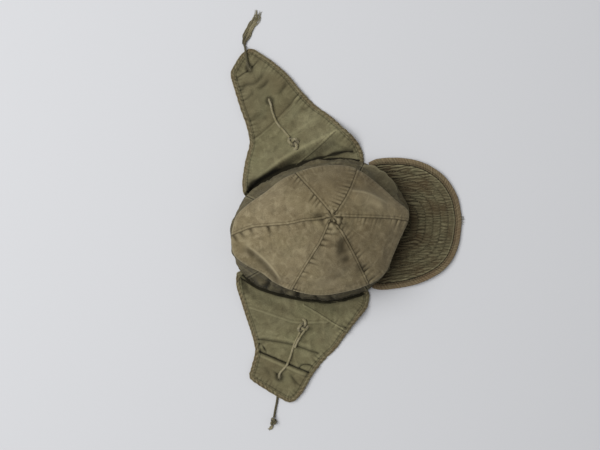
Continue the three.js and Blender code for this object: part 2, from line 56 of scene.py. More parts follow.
def toRow(points):
    return (np.asarray(points, float) + headMiddle) / 1000


def fromRow(point):
    return np.array(point, float) * 1000 - headMiddle


# Fields and lines


def smooth(value, low=0.0, high=1.0):
    share = np.clip((np.asarray(value, float) - low) / (high - low), 0, 1)
    return share * share * (3 - 2 * share)


def bell(value, width):
    return np.exp(-((np.asarray(value, float) / width) ** 2))


def mix(a, b, share):
    return a + (b - a) * share


def squared(value, power):  # a sine or cosine with flatter tops
    return np.sign(value) * np.abs(value) ** power


def atHeading(reach, degrees):
    heading = np.radians(degrees)
    return reach * np.cos(heading), reach * np.sin(heading)


def headingOf(x, y):
    return np.degrees(np.arctan2(y, x))


def beat(along, size, seed, waves=5, sizes=(0.7, 1.5)):  # an uneven wave along a line, from about -1.5 to 1.5
    rng = np.random.default_rng(seed)
    total = 0
    for stretch, phase in zip(rng.uniform(*sizes, waves), rng.uniform(0, 2 * math.pi, waves)):
        total = total + np.sin(2 * math.pi * along / (size * stretch) + phase)
    return total / math.sqrt(waves)


def ripple(x, y, size, seed, waves=8, turns=(0, math.pi)):  # the same over a surface
    rng = np.random.default_rng(seed)
    total = 0
    for turn, stretch, phase in rng.uniform([turns[0], 0.7, 0], [turns[1], 1.5, 2 * math.pi], (waves, 3)):
        across = x * math.cos(turn) + y * math.sin(turn)
        total = total + np.sin(2 * math.pi * across / (size * stretch) + phase)
    return total / math.sqrt(waves)


def curve(points, count, closed=False):
    points = np.asarray(points, float)
    if closed:
        posts = np.vstack([points[-1:], points, points[:2]])
    else:
        posts = np.vstack([2 * points[:1] - points[1:2], points, 2 * points[-1:] - points[-2:-1]])
    t = np.linspace(0, 1, 24, endpoint=False)[:, None]
    fine = []
    for a, b, c, d in zip(posts, posts[1:], posts[2:], posts[3:]):
        fine.append(b + 0.5 * t * (c - a + t * (2 * a - 5 * b + 4 * c - d + t * (3 * (b - c) + d - a))))
    fine = np.vstack([*fine, posts[-2:-1]])
    return evenly(fine, count)


def lengthOf(line):
    return np.linalg.norm(np.diff(line, axis=0), axis=1).sum()


def unit(rows):
    return rows / np.maximum(np.linalg.norm(rows, axis=1), 1e-9)[:, None]


def evenly(points, count):
    along = np.concatenate([[0], np.cumsum(np.linalg.norm(np.diff(points, axis=0), axis=1))])
    stations = np.linspace(0, along[-1], count)
    return np.column_stack([np.interp(stations, along, values) for values in points.T])


def veins(x, y, size, seed, width=0.12):  # thin wandering lines, stronger in some places
    return bell(ripple(x, y, size, seed), width) * smooth(ripple(x, y, size * 1.7, seed + 1), -0.2, 1)


def pointAt(line, share):
    places = np.linspace(0, 1, len(line))
    return np.column_stack([np.interp(share, places, values) for values in line.T])


def near(x, y, line):  # signed distance to a line, positive on its left, and the distance along it
    start, step = line[:-1, :2], np.diff(line[:, :2], axis=0)
    length = np.linalg.norm(step, axis=1)
    before = np.concatenate([[0], np.cumsum(length)[:-1]])
    dx, dy = x[:, None] - start[:, 0], y[:, None] - start[:, 1]
    share = np.clip((dx * step[:, 0] + dy * step[:, 1]) / length**2, 0, 1)
    gap = (dx - share * step[:, 0]) ** 2 + (dy - share * step[:, 1]) ** 2
    best = gap.argmin(axis=1)
    rows = np.arange(len(x))
    side = np.sign(step[best, 0] * dy[rows, best] - step[best, 1] * dx[rows, best])
    return np.sqrt(gap[rows, best]) * side, before[best] + share[rows, best] * length[best]


# Materials


def linear(color):
    parts = [int(color[i : i + 2], 16) / 255 for i in (0, 2, 4)]
    return [part / 12.92 if part <= 0.04045 else ((part + 0.055) / 1.055) ** 2.4 for part in parts] + [1]


def newMaterial(name, roughness, sheen):
    material = bpy.data.materials.new(name)
    material.use_nodes = True
    tree = material.node_tree
    shader = tree.nodes["Principled BSDF"]
    shader.inputs["Roughness"].default_value = roughness
    shader.inputs["Sheen Weight"].default_value = sheen
    shader.inputs["Sheen Roughness"].default_value = 0.6
    shader.inputs["Specular IOR Level"].default_value = 0.08
    return material, tree, shader


def noiseNode(tree, vector, scale, detail=3.0, distortion=0.0):
    node = tree.nodes.new("ShaderNodeTexNoise")
    node.inputs["Distortion"].default_value = distortion
    node.inputs["Scale"].default_value = scale
    node.inputs["Detail"].default_value = detail
    tree.links.new(vector, node.inputs["Vector"])
    return node.outputs["Fac"]


def rangeNode(tree, value, low, high, outLow=0.0, outHigh=1.0):
    node = tree.nodes.new("ShaderNodeMapRange")
    for key, number in (("From Min", low), ("From Max", high), ("To Min", outLow), ("To Max", outHigh)):
        node.inputs[key].default_value = number
    tree.links.new(value, node.inputs["Value"])
    return node.outputs["Result"]


def mixColor(tree, share, first, second, mode="MIX"):
    node = tree.nodes.new("ShaderNodeMix")
    node.data_type = "RGBA"
    node.blend_type = mode
    tree.links.new(share, node.inputs["Factor"])
    for socket, value in ((node.inputs[6], first), (node.inputs[7], second)):
        if isinstance(value, str):
            socket.default_value = linear(value)
        else:
            tree.links.new(value, socket)
    return node.outputs[2]


def attributeNode(tree, name, output="Fac"):
    node = tree.nodes.new("ShaderNodeAttribute")
    node.attribute_name = name
    return node.outputs[output]


def bumpNode(tree, height, strength, distance, normal=None):
    node = tree.nodes.new("ShaderNodeBump")
    node.inputs["Strength"].default_value = strength
    node.inputs["Distance"].default_value = distance
    tree.links.new(height, node.inputs["Height"])
    if normal:
        tree.links.new(normal, node.inputs["Normal"])
    return node.outputs["Normal"]


def waveNode(tree, vector, pitch, turn):
    mapping = tree.nodes.new("ShaderNodeMapping")
    mapping.inputs["Rotation"].default_value = (0, 0, math.radians(turn))
    tree.links.new(vector, mapping.inputs["Vector"])
    wave = tree.nodes.new("ShaderNodeTexWave")
    wave.inputs["Scale"].default_value = 2 * math.pi / (20 * pitch)
    wave.inputs["Distortion"].default_value = 0.6
    wave.inputs["Detail"].default_value = 1
    tree.links.new(mapping.outputs["Vector"], wave.inputs["Vector"])
    return wave.outputs["Fac"]


# Washed cotton: base and faded drift over the cloth and stain is its dirt. The pale tint shows on the ridges,
# from wear and as painted highlight, and dark gives fine flecks and painted shade in grooves, folds and
# pockets.
# Scales are per metre of cloth, the weave's pitch is in metres.
def clothMaterial(name, colors, drift=16, mottle=60, weave=0.0008):
    base, faded, stain, paleTint, dark = colors.split()
    material, tree, shader = newMaterial(name, 0.93, 0.03)
    place = attributeNode(tree, "cloth", "Vector")
    # scale, detail and distortion of a noise, the range of it that shows, how strongly and in which colour
    clouds = [
        (drift, 3, 0, 0.4, 0.6, 1, faded),
        (drift * 2.3, 3, 0, 0.42, 0.6, 0.35, stain),
        (mottle, 6, 0.8, 0.46, 0.66, 0.42, stain),
        (mottle * 2.1, 5, 0.6, 0.5, 0.68, 0.34, paleTint),
        (mottle * 2.7, 5, 0.6, 0.52, 0.7, 0.26, dark),
    ]
    color = base
    for scale, detail, distortion, low, high, most, tint in clouds:
        noise = noiseNode(tree, place, scale, detail, distortion)
        color = mixColor(tree, rangeNode(tree, noise, low, high, 0, most), color, tint)
    color = mixColor(tree, attributeNode(tree, "brown"), color, stain)
    fibres = rangeNode(tree, noiseNode(tree, place, 900, 3), 0.35, 0.7, 0, 0.3)
    color = mixColor(tree, fibres, color, dark)
    color = mixColor(tree, attributeNode(tree, "wear"), color, paleTint)
    color = mixColor(tree, attributeNode(tree, "shade"), color, dark)
    weaveDepth = 0.35
    tree.links.new(color, shader.inputs["Base Color"])
    twill = bumpNode(tree, waveNode(tree, place, weave, 38), weaveDepth, 0.0002)
    cross = bumpNode(tree, waveNode(tree, place, weave * 0.8, -52), weaveDepth * 0.6, 0.0002, twill)
    lint = bumpNode(tree, noiseNode(tree, place, 380, 3), 0.3, 0.0005, cross)
    tree.links.new(lint, shader.inputs["Normal"])
    return material


# Twisted cotton: noise over the piece's object coordinates mottles the yarn and flecks it dark, and its shade
# darkens it.
def cordMaterial(name, base, dark, paleTint):
    material, tree, shader = newMaterial(name, 0.9, 0.15)
    place = tree.nodes.new("ShaderNodeTexCoord").outputs["Object"]
    color = mixColor(tree, rangeNode(tree, noiseNode(tree, place, 160), 0.35, 0.65), base, paleTint)
    color = mixColor(tree, rangeNode(tree, noiseNode(tree, place, 1500, 2), 0.45, 0.7, 0, 0.45), color, dark)
    color = mixColor(tree, attributeNode(tree, "shade"), color, dark)
    tree.links.new(color, shader.inputs["Base Color"])
    tree.links.new(bumpNode(tree, noiseNode(tree, place, 2200, 2), 0.5, 0.0003), shader.inputs["Normal"])
    return material


crownCloth = clothMaterial("washedCrownCotton", "7f7458 8b7f64 675a42 ab9f80 2a2417")
bandCloth = clothMaterial("washedBandCotton", "625b45 69624c 4d4432 928a6d 1c1a12")
flapCloth = clothMaterial("oliveFlapCotton", "777356 817c60 696047 9b9573 15130b", drift=13, mottle=45)
hemCloth = clothMaterial("wornHemCotton", "716c52 787156 6d5b43 a69b79 1d1a10", drift=40, mottle=120)
visorCloth = clothMaterial("quiltedVisorCotton", "57533e 625c45 4e412e 989171 171510", drift=45, mottle=170)
bindingCloth = clothMaterial("wornBindingCotton", "6a614b 72664f 644f3c 9d8e6e 2a2317", drift=26, mottle=110)
liningCloth = clothMaterial("plainLiningCotton", "6b664c 747055 5b5339 8b8468 37331f")
sweatbandCloth = clothMaterial("darkSweatbandTape", "575139 60583f 4b4129 7a7155 2c281a", weave=0.0012)
threadCotton = cordMaterial("oliveCottonThread", "5d563c", "3d3723", "6e6648")
tieCotton = cordMaterial("twistedTieCotton", "89815f", "2f2a1b", "a0977a")

# Building pieces


def deselect():
    bpy.ops.object.select_all(action="DESELECT")


def setAttribute(mesh, name, values, kind="FLOAT"):
    attribute = mesh.attributes.new(name, kind, "POINT")
    attribute.data.foreach_set("value" if kind == "FLOAT" else "vector", np.ravel(values).astype(np.float32))


# A grid whose points are placed by surface(u, v). The surface gives place in millimetres, and may give
# wear with painted highlight, shade and brown from 0 to 1, flat as millimetres of cloth, and hole where there
# is none.
def clothGrid(name, across, along, surface, thickness, offset=0.0, around=False):
    deselect()
    across, along = np.asarray(across), np.asarray(along)
    bpy.ops.mesh.primitive_grid_add(x_subdivisions=len(across) - 1, y_subdivisions=len(along) - 1, size=2)
    piece = bpy.context.object
    piece.name = piece.data.name = name
    mesh = piece.data
    flat = np.empty(len(mesh.vertices) * 3)
    mesh.vertices.foreach_get("co", flat)
    share = (flat.reshape(-1, 3)[:, :2] + 1) / 2
    u = across[np.rint(share[:, 0] * (len(across) - 1)).astype(int)]
    v = along[np.rint(share[:, 1] * (len(along) - 1)).astype(int)]
    made = surface(u, v)
    mesh.vertices.foreach_set("co", toRow(made["place"]).ravel())
    for key, most in (("wear", 0.9), ("shade", 0.95), ("brown", 0.9)):
        setAttribute(mesh, key, np.clip(made.get(key, 0 * u), 0, most))
    cloth = made.get("flat", made["place"][:, :2])
    setAttribute(mesh, "cloth", np.column_stack([cloth, 0 * u]) / 1000, "FLOAT_VECTOR")
    if "hole" in made:
        bpy.ops.object.mode_set(mode="EDIT")
        bpy.ops.mesh.select_all(action="DESELECT")
        bpy.ops.object.mode_set(mode="OBJECT")
        mesh.vertices.foreach_set("select", made["hole"])
    mesh.update()
    if "hole" in made:
        bpy.ops.object.mode_set(mode="EDIT")
        bpy.ops.mesh.delete(type="VERT")
        bpy.ops.object.mode_set(mode="OBJECT")
    if thickness:
        solid = piece.modifiers.new("thickness", "SOLIDIFY")
        solid.thickness = thickness / 1000
        solid.offset = offset
        bpy.ops.object.modifier_apply(modifier=solid.name)
    return tidyMesh(piece, around or not thickness)


def tidyMesh(piece, merge=False):
    bpy.context.view_layer.objects.active = piece
    piece.select_set(True)
    bpy.ops.object.mode_set(mode="EDIT")
    bpy.ops.mesh.select_all(action="SELECT")
    if merge:
        bpy.ops.mesh.remove_doubles(threshold=2e-5)
    bpy.ops.mesh.normals_make_consistent(inside=False)
    bpy.ops.object.mode_set(mode="OBJECT")
    bpy.ops.object.shade_smooth()
    return piece


def dress(piece, material, nodes=(), body=None):
    piece.data.materials.clear()
    piece.data.materials.append(material)
    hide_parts(*nodes)
    if body:
        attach(piece, body)
    else:
        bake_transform(piece)
    return piece


# A tube round a line of points, with its ends closed. section(turn, along) gives the radius in
# millimetres, along in millimetres too.
def tube(name, points, section, sides=12, pitch=0.8, tone=None, groove=1.5):
    length = lengthOf(points)
    line = evenly(points, max(6, round(length / pitch)))
    tangent = unit(np.gradient(line, axis=0))
    side = unit(np.cross([0, 0, 1.0], tangent))
    for k in range(1, len(side)):  # carried along, so that the tube doesn't twist where it stands up
        carried = side[k - 1] - tangent[k] * (side[k - 1] @ tangent[k])
        side[k] = carried / np.linalg.norm(carried)
    rise = np.cross(tangent, side)
    along = np.linspace(0, length, len(line))
    ring = 2 * math.pi * np.arange(sides) / sides

    def surface(u, v):
        row = np.rint(v * (len(line) + 1)).astype(int)
        inner = np.clip(row - 1, 0, len(line) - 1)
        turn = 2 * math.pi * u
        radius = section(turn, along[inner])
        radius = np.where((row == 0) | (row == len(line) + 1), radius * 0.02, radius)
        reach = radius[:, None] * (np.cos(turn)[:, None] * side[inner] + np.sin(turn)[:, None] * rise[inner])
        shade = groove * (1 - radius / np.maximum(radius.max(), 1e-6))
        if tone:
            shade = shade + tone(along[inner] / length)
        return {"place": line[inner] + reach, "shade": shade, "flat": np.column_stack([turn, along[inner]])}

    stations = np.linspace(0, 1, len(line) + 2)
    piece = clothGrid(name, np.append(ring / (2 * math.pi), 1.0), stations, surface, 0, around=True)
    return piece, line


def ropeSection(diameter, strands=3, twist=5.0):  # twist is the length of one turn, in millimetres
    def section(turn, along):
        lobes = np.abs(np.cos(strands / 2 * (turn - 2 * math.pi * along / twist)))
        return diameter / 2 * (0.88 + 0.3 * lobes)

    return section


# Rows of sewing thread. Each row is a line of surface points; a stitch is a short bead of thread, made
# once and copied along the rows.
def stitches(name, rows, length=2.3, gap=1.1, width=0.42):
    deselect()
    bpy.ops.mesh.primitive_uv_sphere_add(segments=6, ring_count=4, radius=0.5)
    bead = bpy.context.object
    polesAlongX = np.array([[0, 0, 1], [0, 1, 0], [1, 0, 0]])
    beadPoints = np.array([vertex.co for vertex in bead.data.vertices]) @ polesAlongX
    beadFaces = [list(face.vertices) for face in bead.data.polygons]
    bpy.data.objects.remove(bead)
    places, faces = [], []
    for row in rows:
        count = max(1, int(lengthOf(row) / (length + gap)))
        line = evenly(row, 2 * count + 1)
        for start, end in zip(line[:-1:2], line[1::2]):
            middle, reach = (start + end) / 2, end - start
            tangent = reach / max(np.linalg.norm(reach), 1e-6)
            side = np.cross([0, 0, 1.0], tangent)
            side /= max(np.linalg.norm(side), 1e-6)
            axes = np.array([tangent * length, side * width, np.cross(tangent, side) * width])
            faces += [[len(places) * len(beadPoints) + corner for corner in face] for face in beadFaces]
            places.append(middle + beadPoints @ axes)
    mesh = bpy.data.meshes.new(name)
    mesh.from_pydata(toRow(np.vstack(places)).tolist(), [], faces)
    piece = bpy.data.objects.new(name, mesh)
    bpy.context.scene.collection.objects.link(piece)
    return tidyMesh(piece)


def raised(points, height, lift=0.0):  # a flat line laid on a height field
    return np.column_stack([points[:, 0], points[:, 1], height(points[:, 0], points[:, 1]) + lift])


def inside(line, inset):  # the same line moved to its left
    tangent = unit(np.gradient(line[:, :2], axis=0))
    return line[:, :2] + inset * np.column_stack([-tangent[:, 1], tangent[:, 0]])


# A tape folded over an edge line: u runs round it and v along the line. It gives the line's points, the
# direction in from the edge, the rounded share across the tape, the way in and the lift.
def foldedTape(line, u, v, width):
    station = 2 * math.pi * u
    tangent = unit(pointAt(np.gradient(line, axis=0), v))
    inwards = np.column_stack([tangent[:, 1], -tangent[:, 0]])
    flatten = squared(np.cos(station), 0.75)
    return pointAt(line, v), inwards, flatten, width / 2 * (1 - flatten), squared(np.sin(station), 0.7)


# Camera

camera = {"x": -24.4, "y": 9.3, "height": 1000, "turn": -4.2, "lens": 48}
bpy.ops.object.camera_add(location=toRow([camera["x"], camera["y"], camera["height"]]))
bpy.context.object.rotation_euler = (0, 0, math.radians(camera["turn"]))
bpy.context.object.data.lens = camera["lens"]
bpy.context.scene.camera = bpy.context.object
print("camera ready")

# Tie cords

# Points run along x, y outwards and z, in metres from the middle of the head opening.
tieSize = {"diameter": 2.5, "twist": 6.5, "yarn": 1.0}
ties = {
    "left": {
        "side": 1,
        "route": [
            (-0.0294, 0.1181, 0.01008), (-0.0355, 0.1270, 0.00649), (-0.0435, 0.1380, 0.00525),
            (-0.0478, 0.1500, 0.00540), (-0.0492, 0.1575, 0.00790), (-0.0495, 0.1608, 0.00795),
            (-0.0510, 0.1660, 0.00460), (-0.0526, 0.1712, 0.00160), (-0.0546, 0.1760, 0.00160),
            (-0.0630, 0.1900, 0.00160), (-0.0698, 0.1995, 0.00160), (-0.0714, 0.2032, 0.00160),
            (-0.0730, 0.2085, 0.00460), (-0.0746, 0.2138, 0.00795), (-0.0753, 0.2195, 0.00815),
            (-0.0758, 0.2260, 0.00820), (-0.0760, 0.2314, 0.00770), (-0.0765, 0.2354, 0.00360),
            (-0.0773, 0.2386, 0.00190),
        ],
        "darkFrom": 0.7,
        "knot": {"at": (-24.6, 110.4, 12.6), "heading": 121, "size": (17, 13, 8), "cord": 3.5},
        "far": "bare",
        "fray": {"node": "tassel", "yarns": 38, "spread": 8.5,
                 "path": [(-77.4, 239.2), (-75, 247), (-68, 259), (-60, 270), (-56, 282)]},
    },
    "right": {
        "side": -1,
        "route": [
            (-0.0340, 0.1230, 0.00899), (-0.0383, 0.1305, 0.00601), (-0.0427, 0.1385, 0.00525),
            (-0.0478, 0.1515, 0.00525), (-0.0505, 0.1575, 0.00621), (-0.0540, 0.1635, 0.00802),
            (-0.0590, 0.1684, 0.00795), (-0.0626, 0.1721, 0.00795), (-0.0640, 0.1770, 0.00460),
            (-0.0654, 0.1819, 0.00160), (-0.0662, 0.1875, 0.00160), (-0.0673, 0.1960, 0.00160),
            (-0.0686, 0.2050, 0.00160), (-0.0706, 0.2130, 0.00160), (-0.0728, 0.2210, 0.00200),
            (-0.0743, 0.2275, 0.00350),
        ],
        "darkFrom": 0.55,
        "knot": {"at": (-29.6, 115.1, 11.2), "heading": 119, "size": (17, 14, 8), "cord": 3.1,
                 "tail": [(-28, 121, 11), (-33, 127, 9.4), (-38, 134.5, 8), (-42, 142, 7.4)]},
        "endKnot": {"at": (-75.5, 232.4, 3.8), "heading": 103, "size": (10, 8.5, 7), "cord": 2.6,
                    "dark": 0.5},
        "far": "knot",
        "fray": {"node": "tail", "yarns": 12, "spread": 3.6,
                 "path": [(-76.6, 236.4), (-79, 240), (-83, 243)]},
    },
}


def joined(pieces):
    deselect()
    for piece in pieces:
        piece.select_set(True)
    bpy.context.view_layer.objects.active = pieces[0]
    if len(pieces) > 1:
        bpy.ops.object.join()
    return pieces[0]


def overhandKnot(name, knot, side):
    turn = np.linspace(0, 2 * math.pi, 90)
    loops = [np.sin(turn) + 2 * np.sin(2 * turn), np.cos(turn) - 2 * np.cos(2 * turn), -np.sin(3 * turn)]
    shape = np.column_stack(loops)
    shape /= np.abs(shape).max(axis=0)
    shape = shape * ((np.array(knot["size"]) - tieSize["diameter"]) / 2)
    heading = math.radians(knot["heading"])
    across = np.array([[math.cos(heading), math.sin(heading)], [-math.sin(heading), math.cos(heading)]])
    shape[:, :2] = shape[:, :2] @ across
    shape[:, 1] *= side
    x, y, z = knot["at"]
    place = shape + [x, side * y, z]
    tone = lambda share: knot.get("dark", 0) + 0.6 * np.clip(np.sin(6 * math.pi * share + 1), 0, 1)
    section = ropeSection(knot["cord"], twist=tieSize["twist"])
    pieces = [tube(name, place, section, pitch=0.5, tone=tone)[0]]
    if "tail" in knot:
        tail = curve([(x, side * y, z) for x, y, z in knot["tail"]], 40)
        pieces.append(tube(f"{name}Tail", tail, ropeSection(2.3, twist=tieSize["twist"]), pitch=0.6)[0])
    return joined(pieces)


# A frayed end: yarns that leave the cord together, spread, and gather again in two locks.
def frayedEnd(name, path, side, yarns, spread, seed):
    rng = np.random.default_rng(seed)
    middle = curve([(x, side * y, 1.5) for x, y in path], 30)
    share = np.linspace(0, 1, 30)
    across = unit(np.cross([0, 0, 1.0], np.gradient(middle, axis=0)))
    pieces = []
    for i in range(yarns):
        lock = 1 if i % 2 else -1
        out, up, short = rng.uniform(-1, 1), rng.uniform(0, 1), rng.uniform(0.78, 1)
        wander = beat(share, 0.5, seed + i) * spread * 0.12
        swell = np.sin(math.pi * np.clip(share * 1.15, 0, 1)) * 0.75 + 0.25
        offset = out * spread / 2 * swell + lock * spread * 0.34 * smooth(share, 0.55, 1) + wander
        line = middle + across * offset[:, None]
        line[:, 2] = 0.7 + up * 2.1 * (1 - 0.6 * share) + 0.1 * wander
        line = line[: max(6, int(30 * short))]
        end = lengthOf(line)
        taper = lambda turn, along: tieSize["yarn"] / 2 * (1 - 0.7 * smooth(along, 0.6 * end, end)) + 0 * turn
        dark = rng.uniform(0, 0.6)
        tone = lambda share: dark + 0.45 * (1 - smooth(share, 0, 0.5))
        pieces.append(tube(f"{name}_{i}", line, taper, sides=6, pitch=1.2, tone=tone, groove=0)[0])
    pieces[0].name = pieces[0].data.name = name
    return joined(pieces)


for name, tie in ties.items():
    body, side = f"flap_{name}", tie["side"]
    route = curve([(x * 1000, side * y * 1000, z * 1000) for x, y, z in tie["route"]], 260)
    section = ropeSection(tieSize["diameter"], twist=tieSize["twist"])
    tone = lambda share: 0.65 * smooth(share, tie["darkFrom"], tie["darkFrom"] + 0.1)
    cord, line = tube(f"tieCord_{name}", route, section, sides=16, pitch=0.7, tone=tone)
    dress(cord, tieCotton, [f"tie_{name}_cord"], body)
    onCord = [overhandKnot(f"tieKnot_{name}", tie["knot"], side)]
    dress(onCord[0], tieCotton, [f"tie_{name}_knot"], body)
    if "endKnot" in tie:
        onCord.append(overhandKnot(f"tieEndKnot_{name}", tie["endKnot"], side))
        dress(onCord[-1], tieCotton, [f"tie_{name}_end_knot"], body)
    fray = tie["fray"]
    end = frayedEnd(f"tieFray_{name}", fray["path"], side, fray["yarns"], fray["spread"], 40 + side)
    onCord.append(dress(end, tieCotton, [f"tie_{name}_{fray['node']}"], body))
print("tie cords ready")

# Crown

bandHeight = 58
crown = {
    "apex": (13, 16),
    "rise": 36.5,
    "fullness": 2.3,  # how flat the top is
    "rim": [
        (103.5, 16), (90.4, 29.2), (72.9, 47.7), (57, 62.5), (46.8, 69.5), (38.8, 73.4), (22.5, 76.2),
        (7, 76.4), (-7.8, 74.8), (-25.2, 70.2), (-43.1, 63), (-62, 50.3), (-83.7, 37.3), (-97.8, 25.2),
        (-104.2, 8.1), (-106, -6.8), (-103.2, -21), (-89.5, -33.5), (-73.1, -43.3), (-59.2, -55.6),
        (-42.8, -64.6), (-26.7, -70.4), (-11, -74), (3.7, -74.6), (20, -73), (36.7, -70.2), (51.3, -65.9),
        (61.8, -61.5), (72.6, -52), (81.4, -35), (89.5, -19), (97.1, -5.5), (101.8, 3),
    ],
    "seams": {
        "front": [(13, 16), (32.8, 13.9), (60.5, 11.1), (83.9, 8.3), (102, 4.6)],
        "frontLeft": [(13, 16), (25.1, 31.3), (32, 41), (39, 53), (47, 69)],
        "backLeft": [(13, 16), (5.5, 28), (-9, 47.8), (-25.5, 70.2)],
        "back": [
            (13, 16), (-2, 13.5), (-19.5, 13.2), (-39.2, 10.8), (-75.3, 10.6), (-92.6, 6.5), (-104.8, 2.8),
        ],
        "backRight": [(13, 16), (7.8, 6.1), (-2, -12.5), (-9.4, -22.7), (-22.6, -41.2), (-39, -66)],
        "frontRight": [(13, 16), (18.5, 6), (25.4, -4.6), (33.2, -21.7), (42.5, -43), (51.8, -65.4)],
    },
    "seamHalf": 3.1,  # from a seam to its row of stitches
    "rimRow": 6.2,  # from the rim to its row
    "puckerSides": (-1, 1, 1, 1, 1, 1),
    "puckerSizes": (6, 5.2, 6.2, 8.5, 6.4, 6),
    # rise, width to the left and right of its line, paleness on the crest from wear and painted highlight,
    # painted shade beside it, and the line
    "folds": [
        (3.6, (11, 2.4), 0.6, 0.55, [(-92, -6), (-78, -17), (-64, -32), (-54, -47), (-50, -58)]),
        (2.2, (2, 10), 0.35, 0.2, [(31, 44), (42, 43), (54, 40), (68, 33), (82, 24)]),
        (1.6, (8, 8), 0.08, 0, [(-60, 40), (-38, 44), (-14, 38)]),
        (1.8, (8, 6), 0.08, 0, [(-20, -60), (4, -50), (30, -46)]),
        (1.8, (8, 5), 0.08, 0, [(66, -44), (70, -20), (84, -4)]),
        (1.4, (4, 3), 0.15, 0, [(2, -4), (-6, -14), (-10, -30)]),
        (-1.4, (4, 7), 0.08, 0, [(44, 34), (58, 30), (74, 20)]),
        (1.2, (7, 5), 0.08, 0, [(-70, 30), (-58, 14), (-52, 2)]),
        (1.1, (5, 5), 0.08, 0, [(-86, 24), (-70, 30), (-52, 44)]),
        (1.5, (5, 8), 0.08, 0, [(-30, -30), (-18, -44), (-14, -62)]),
        (-1.6, (2, 2), 0, 0.7, [(10, 16.5), (-2, 18.5), (-14, 18)]),
        (1.3, (3, 3), 0.15, 0, [(24, 0), (30, -10), (34, -16)]),
    ],
    # middle, size, depth and darkness
    "dents": [
        ((21, -19), (7.5, 12), 3.4, 0.75), ((25, -33), (5, 5), 1.5, 0.3), ((44, -48), (6, 6), 1.6, 0.4),
        ((28, 6), (6, 4), 1.0, 0.3), ((50, 24), (12, 7), 1.2, 0.15),
    ],
    # middle, size and darkness, which is negative where the cloth is paler
    "tones": [
        ((8, -32), (16, 16), 0.16), ((40, -14), (22, 26), 0.1), ((-8, -16), (14, 24), 0.13),
        ((24, -46), (20, 14), 0.18), ((51, 17), (9, 6), 0.12), ((-56, -28), (22, 17), -0.2),
        ((-1, -60), (18, 8), -0.3), ((54, 38), (22, 10), -0.14), ((-62, 46), (20, 12), -0.12),
    ],
    "lumps": [(12.4, 5.2, 3.9), (19.6, 9.4, 2.8)],  # of the gather at the apex: middle and size
    "bunch": (16, 5, 8),  # the bunched cloth round them
}
apex = np.array(crown["apex"], float)
rimLine = curve(crown["rim"], 721, closed=True)
seamLines = [curve(points, 60) for points in crown["seams"].values()]


def polar(line, middle):  # reach of a closed line from a point inside it, at a heading in degrees
    heading = headingOf(line[:, 0] - middle[0], line[:, 1] - middle[1]) % 360
    reach = np.hypot(line[:, 0] - middle[0], line[:, 1] - middle[1])
    order = np.argsort(heading)
    heading, reach = heading[order], reach[order]
    return lambda degrees: np.interp(np.asarray(degrees, float) % 360, heading, reach, period=360)


rimReach = polar(rimLine, apex)


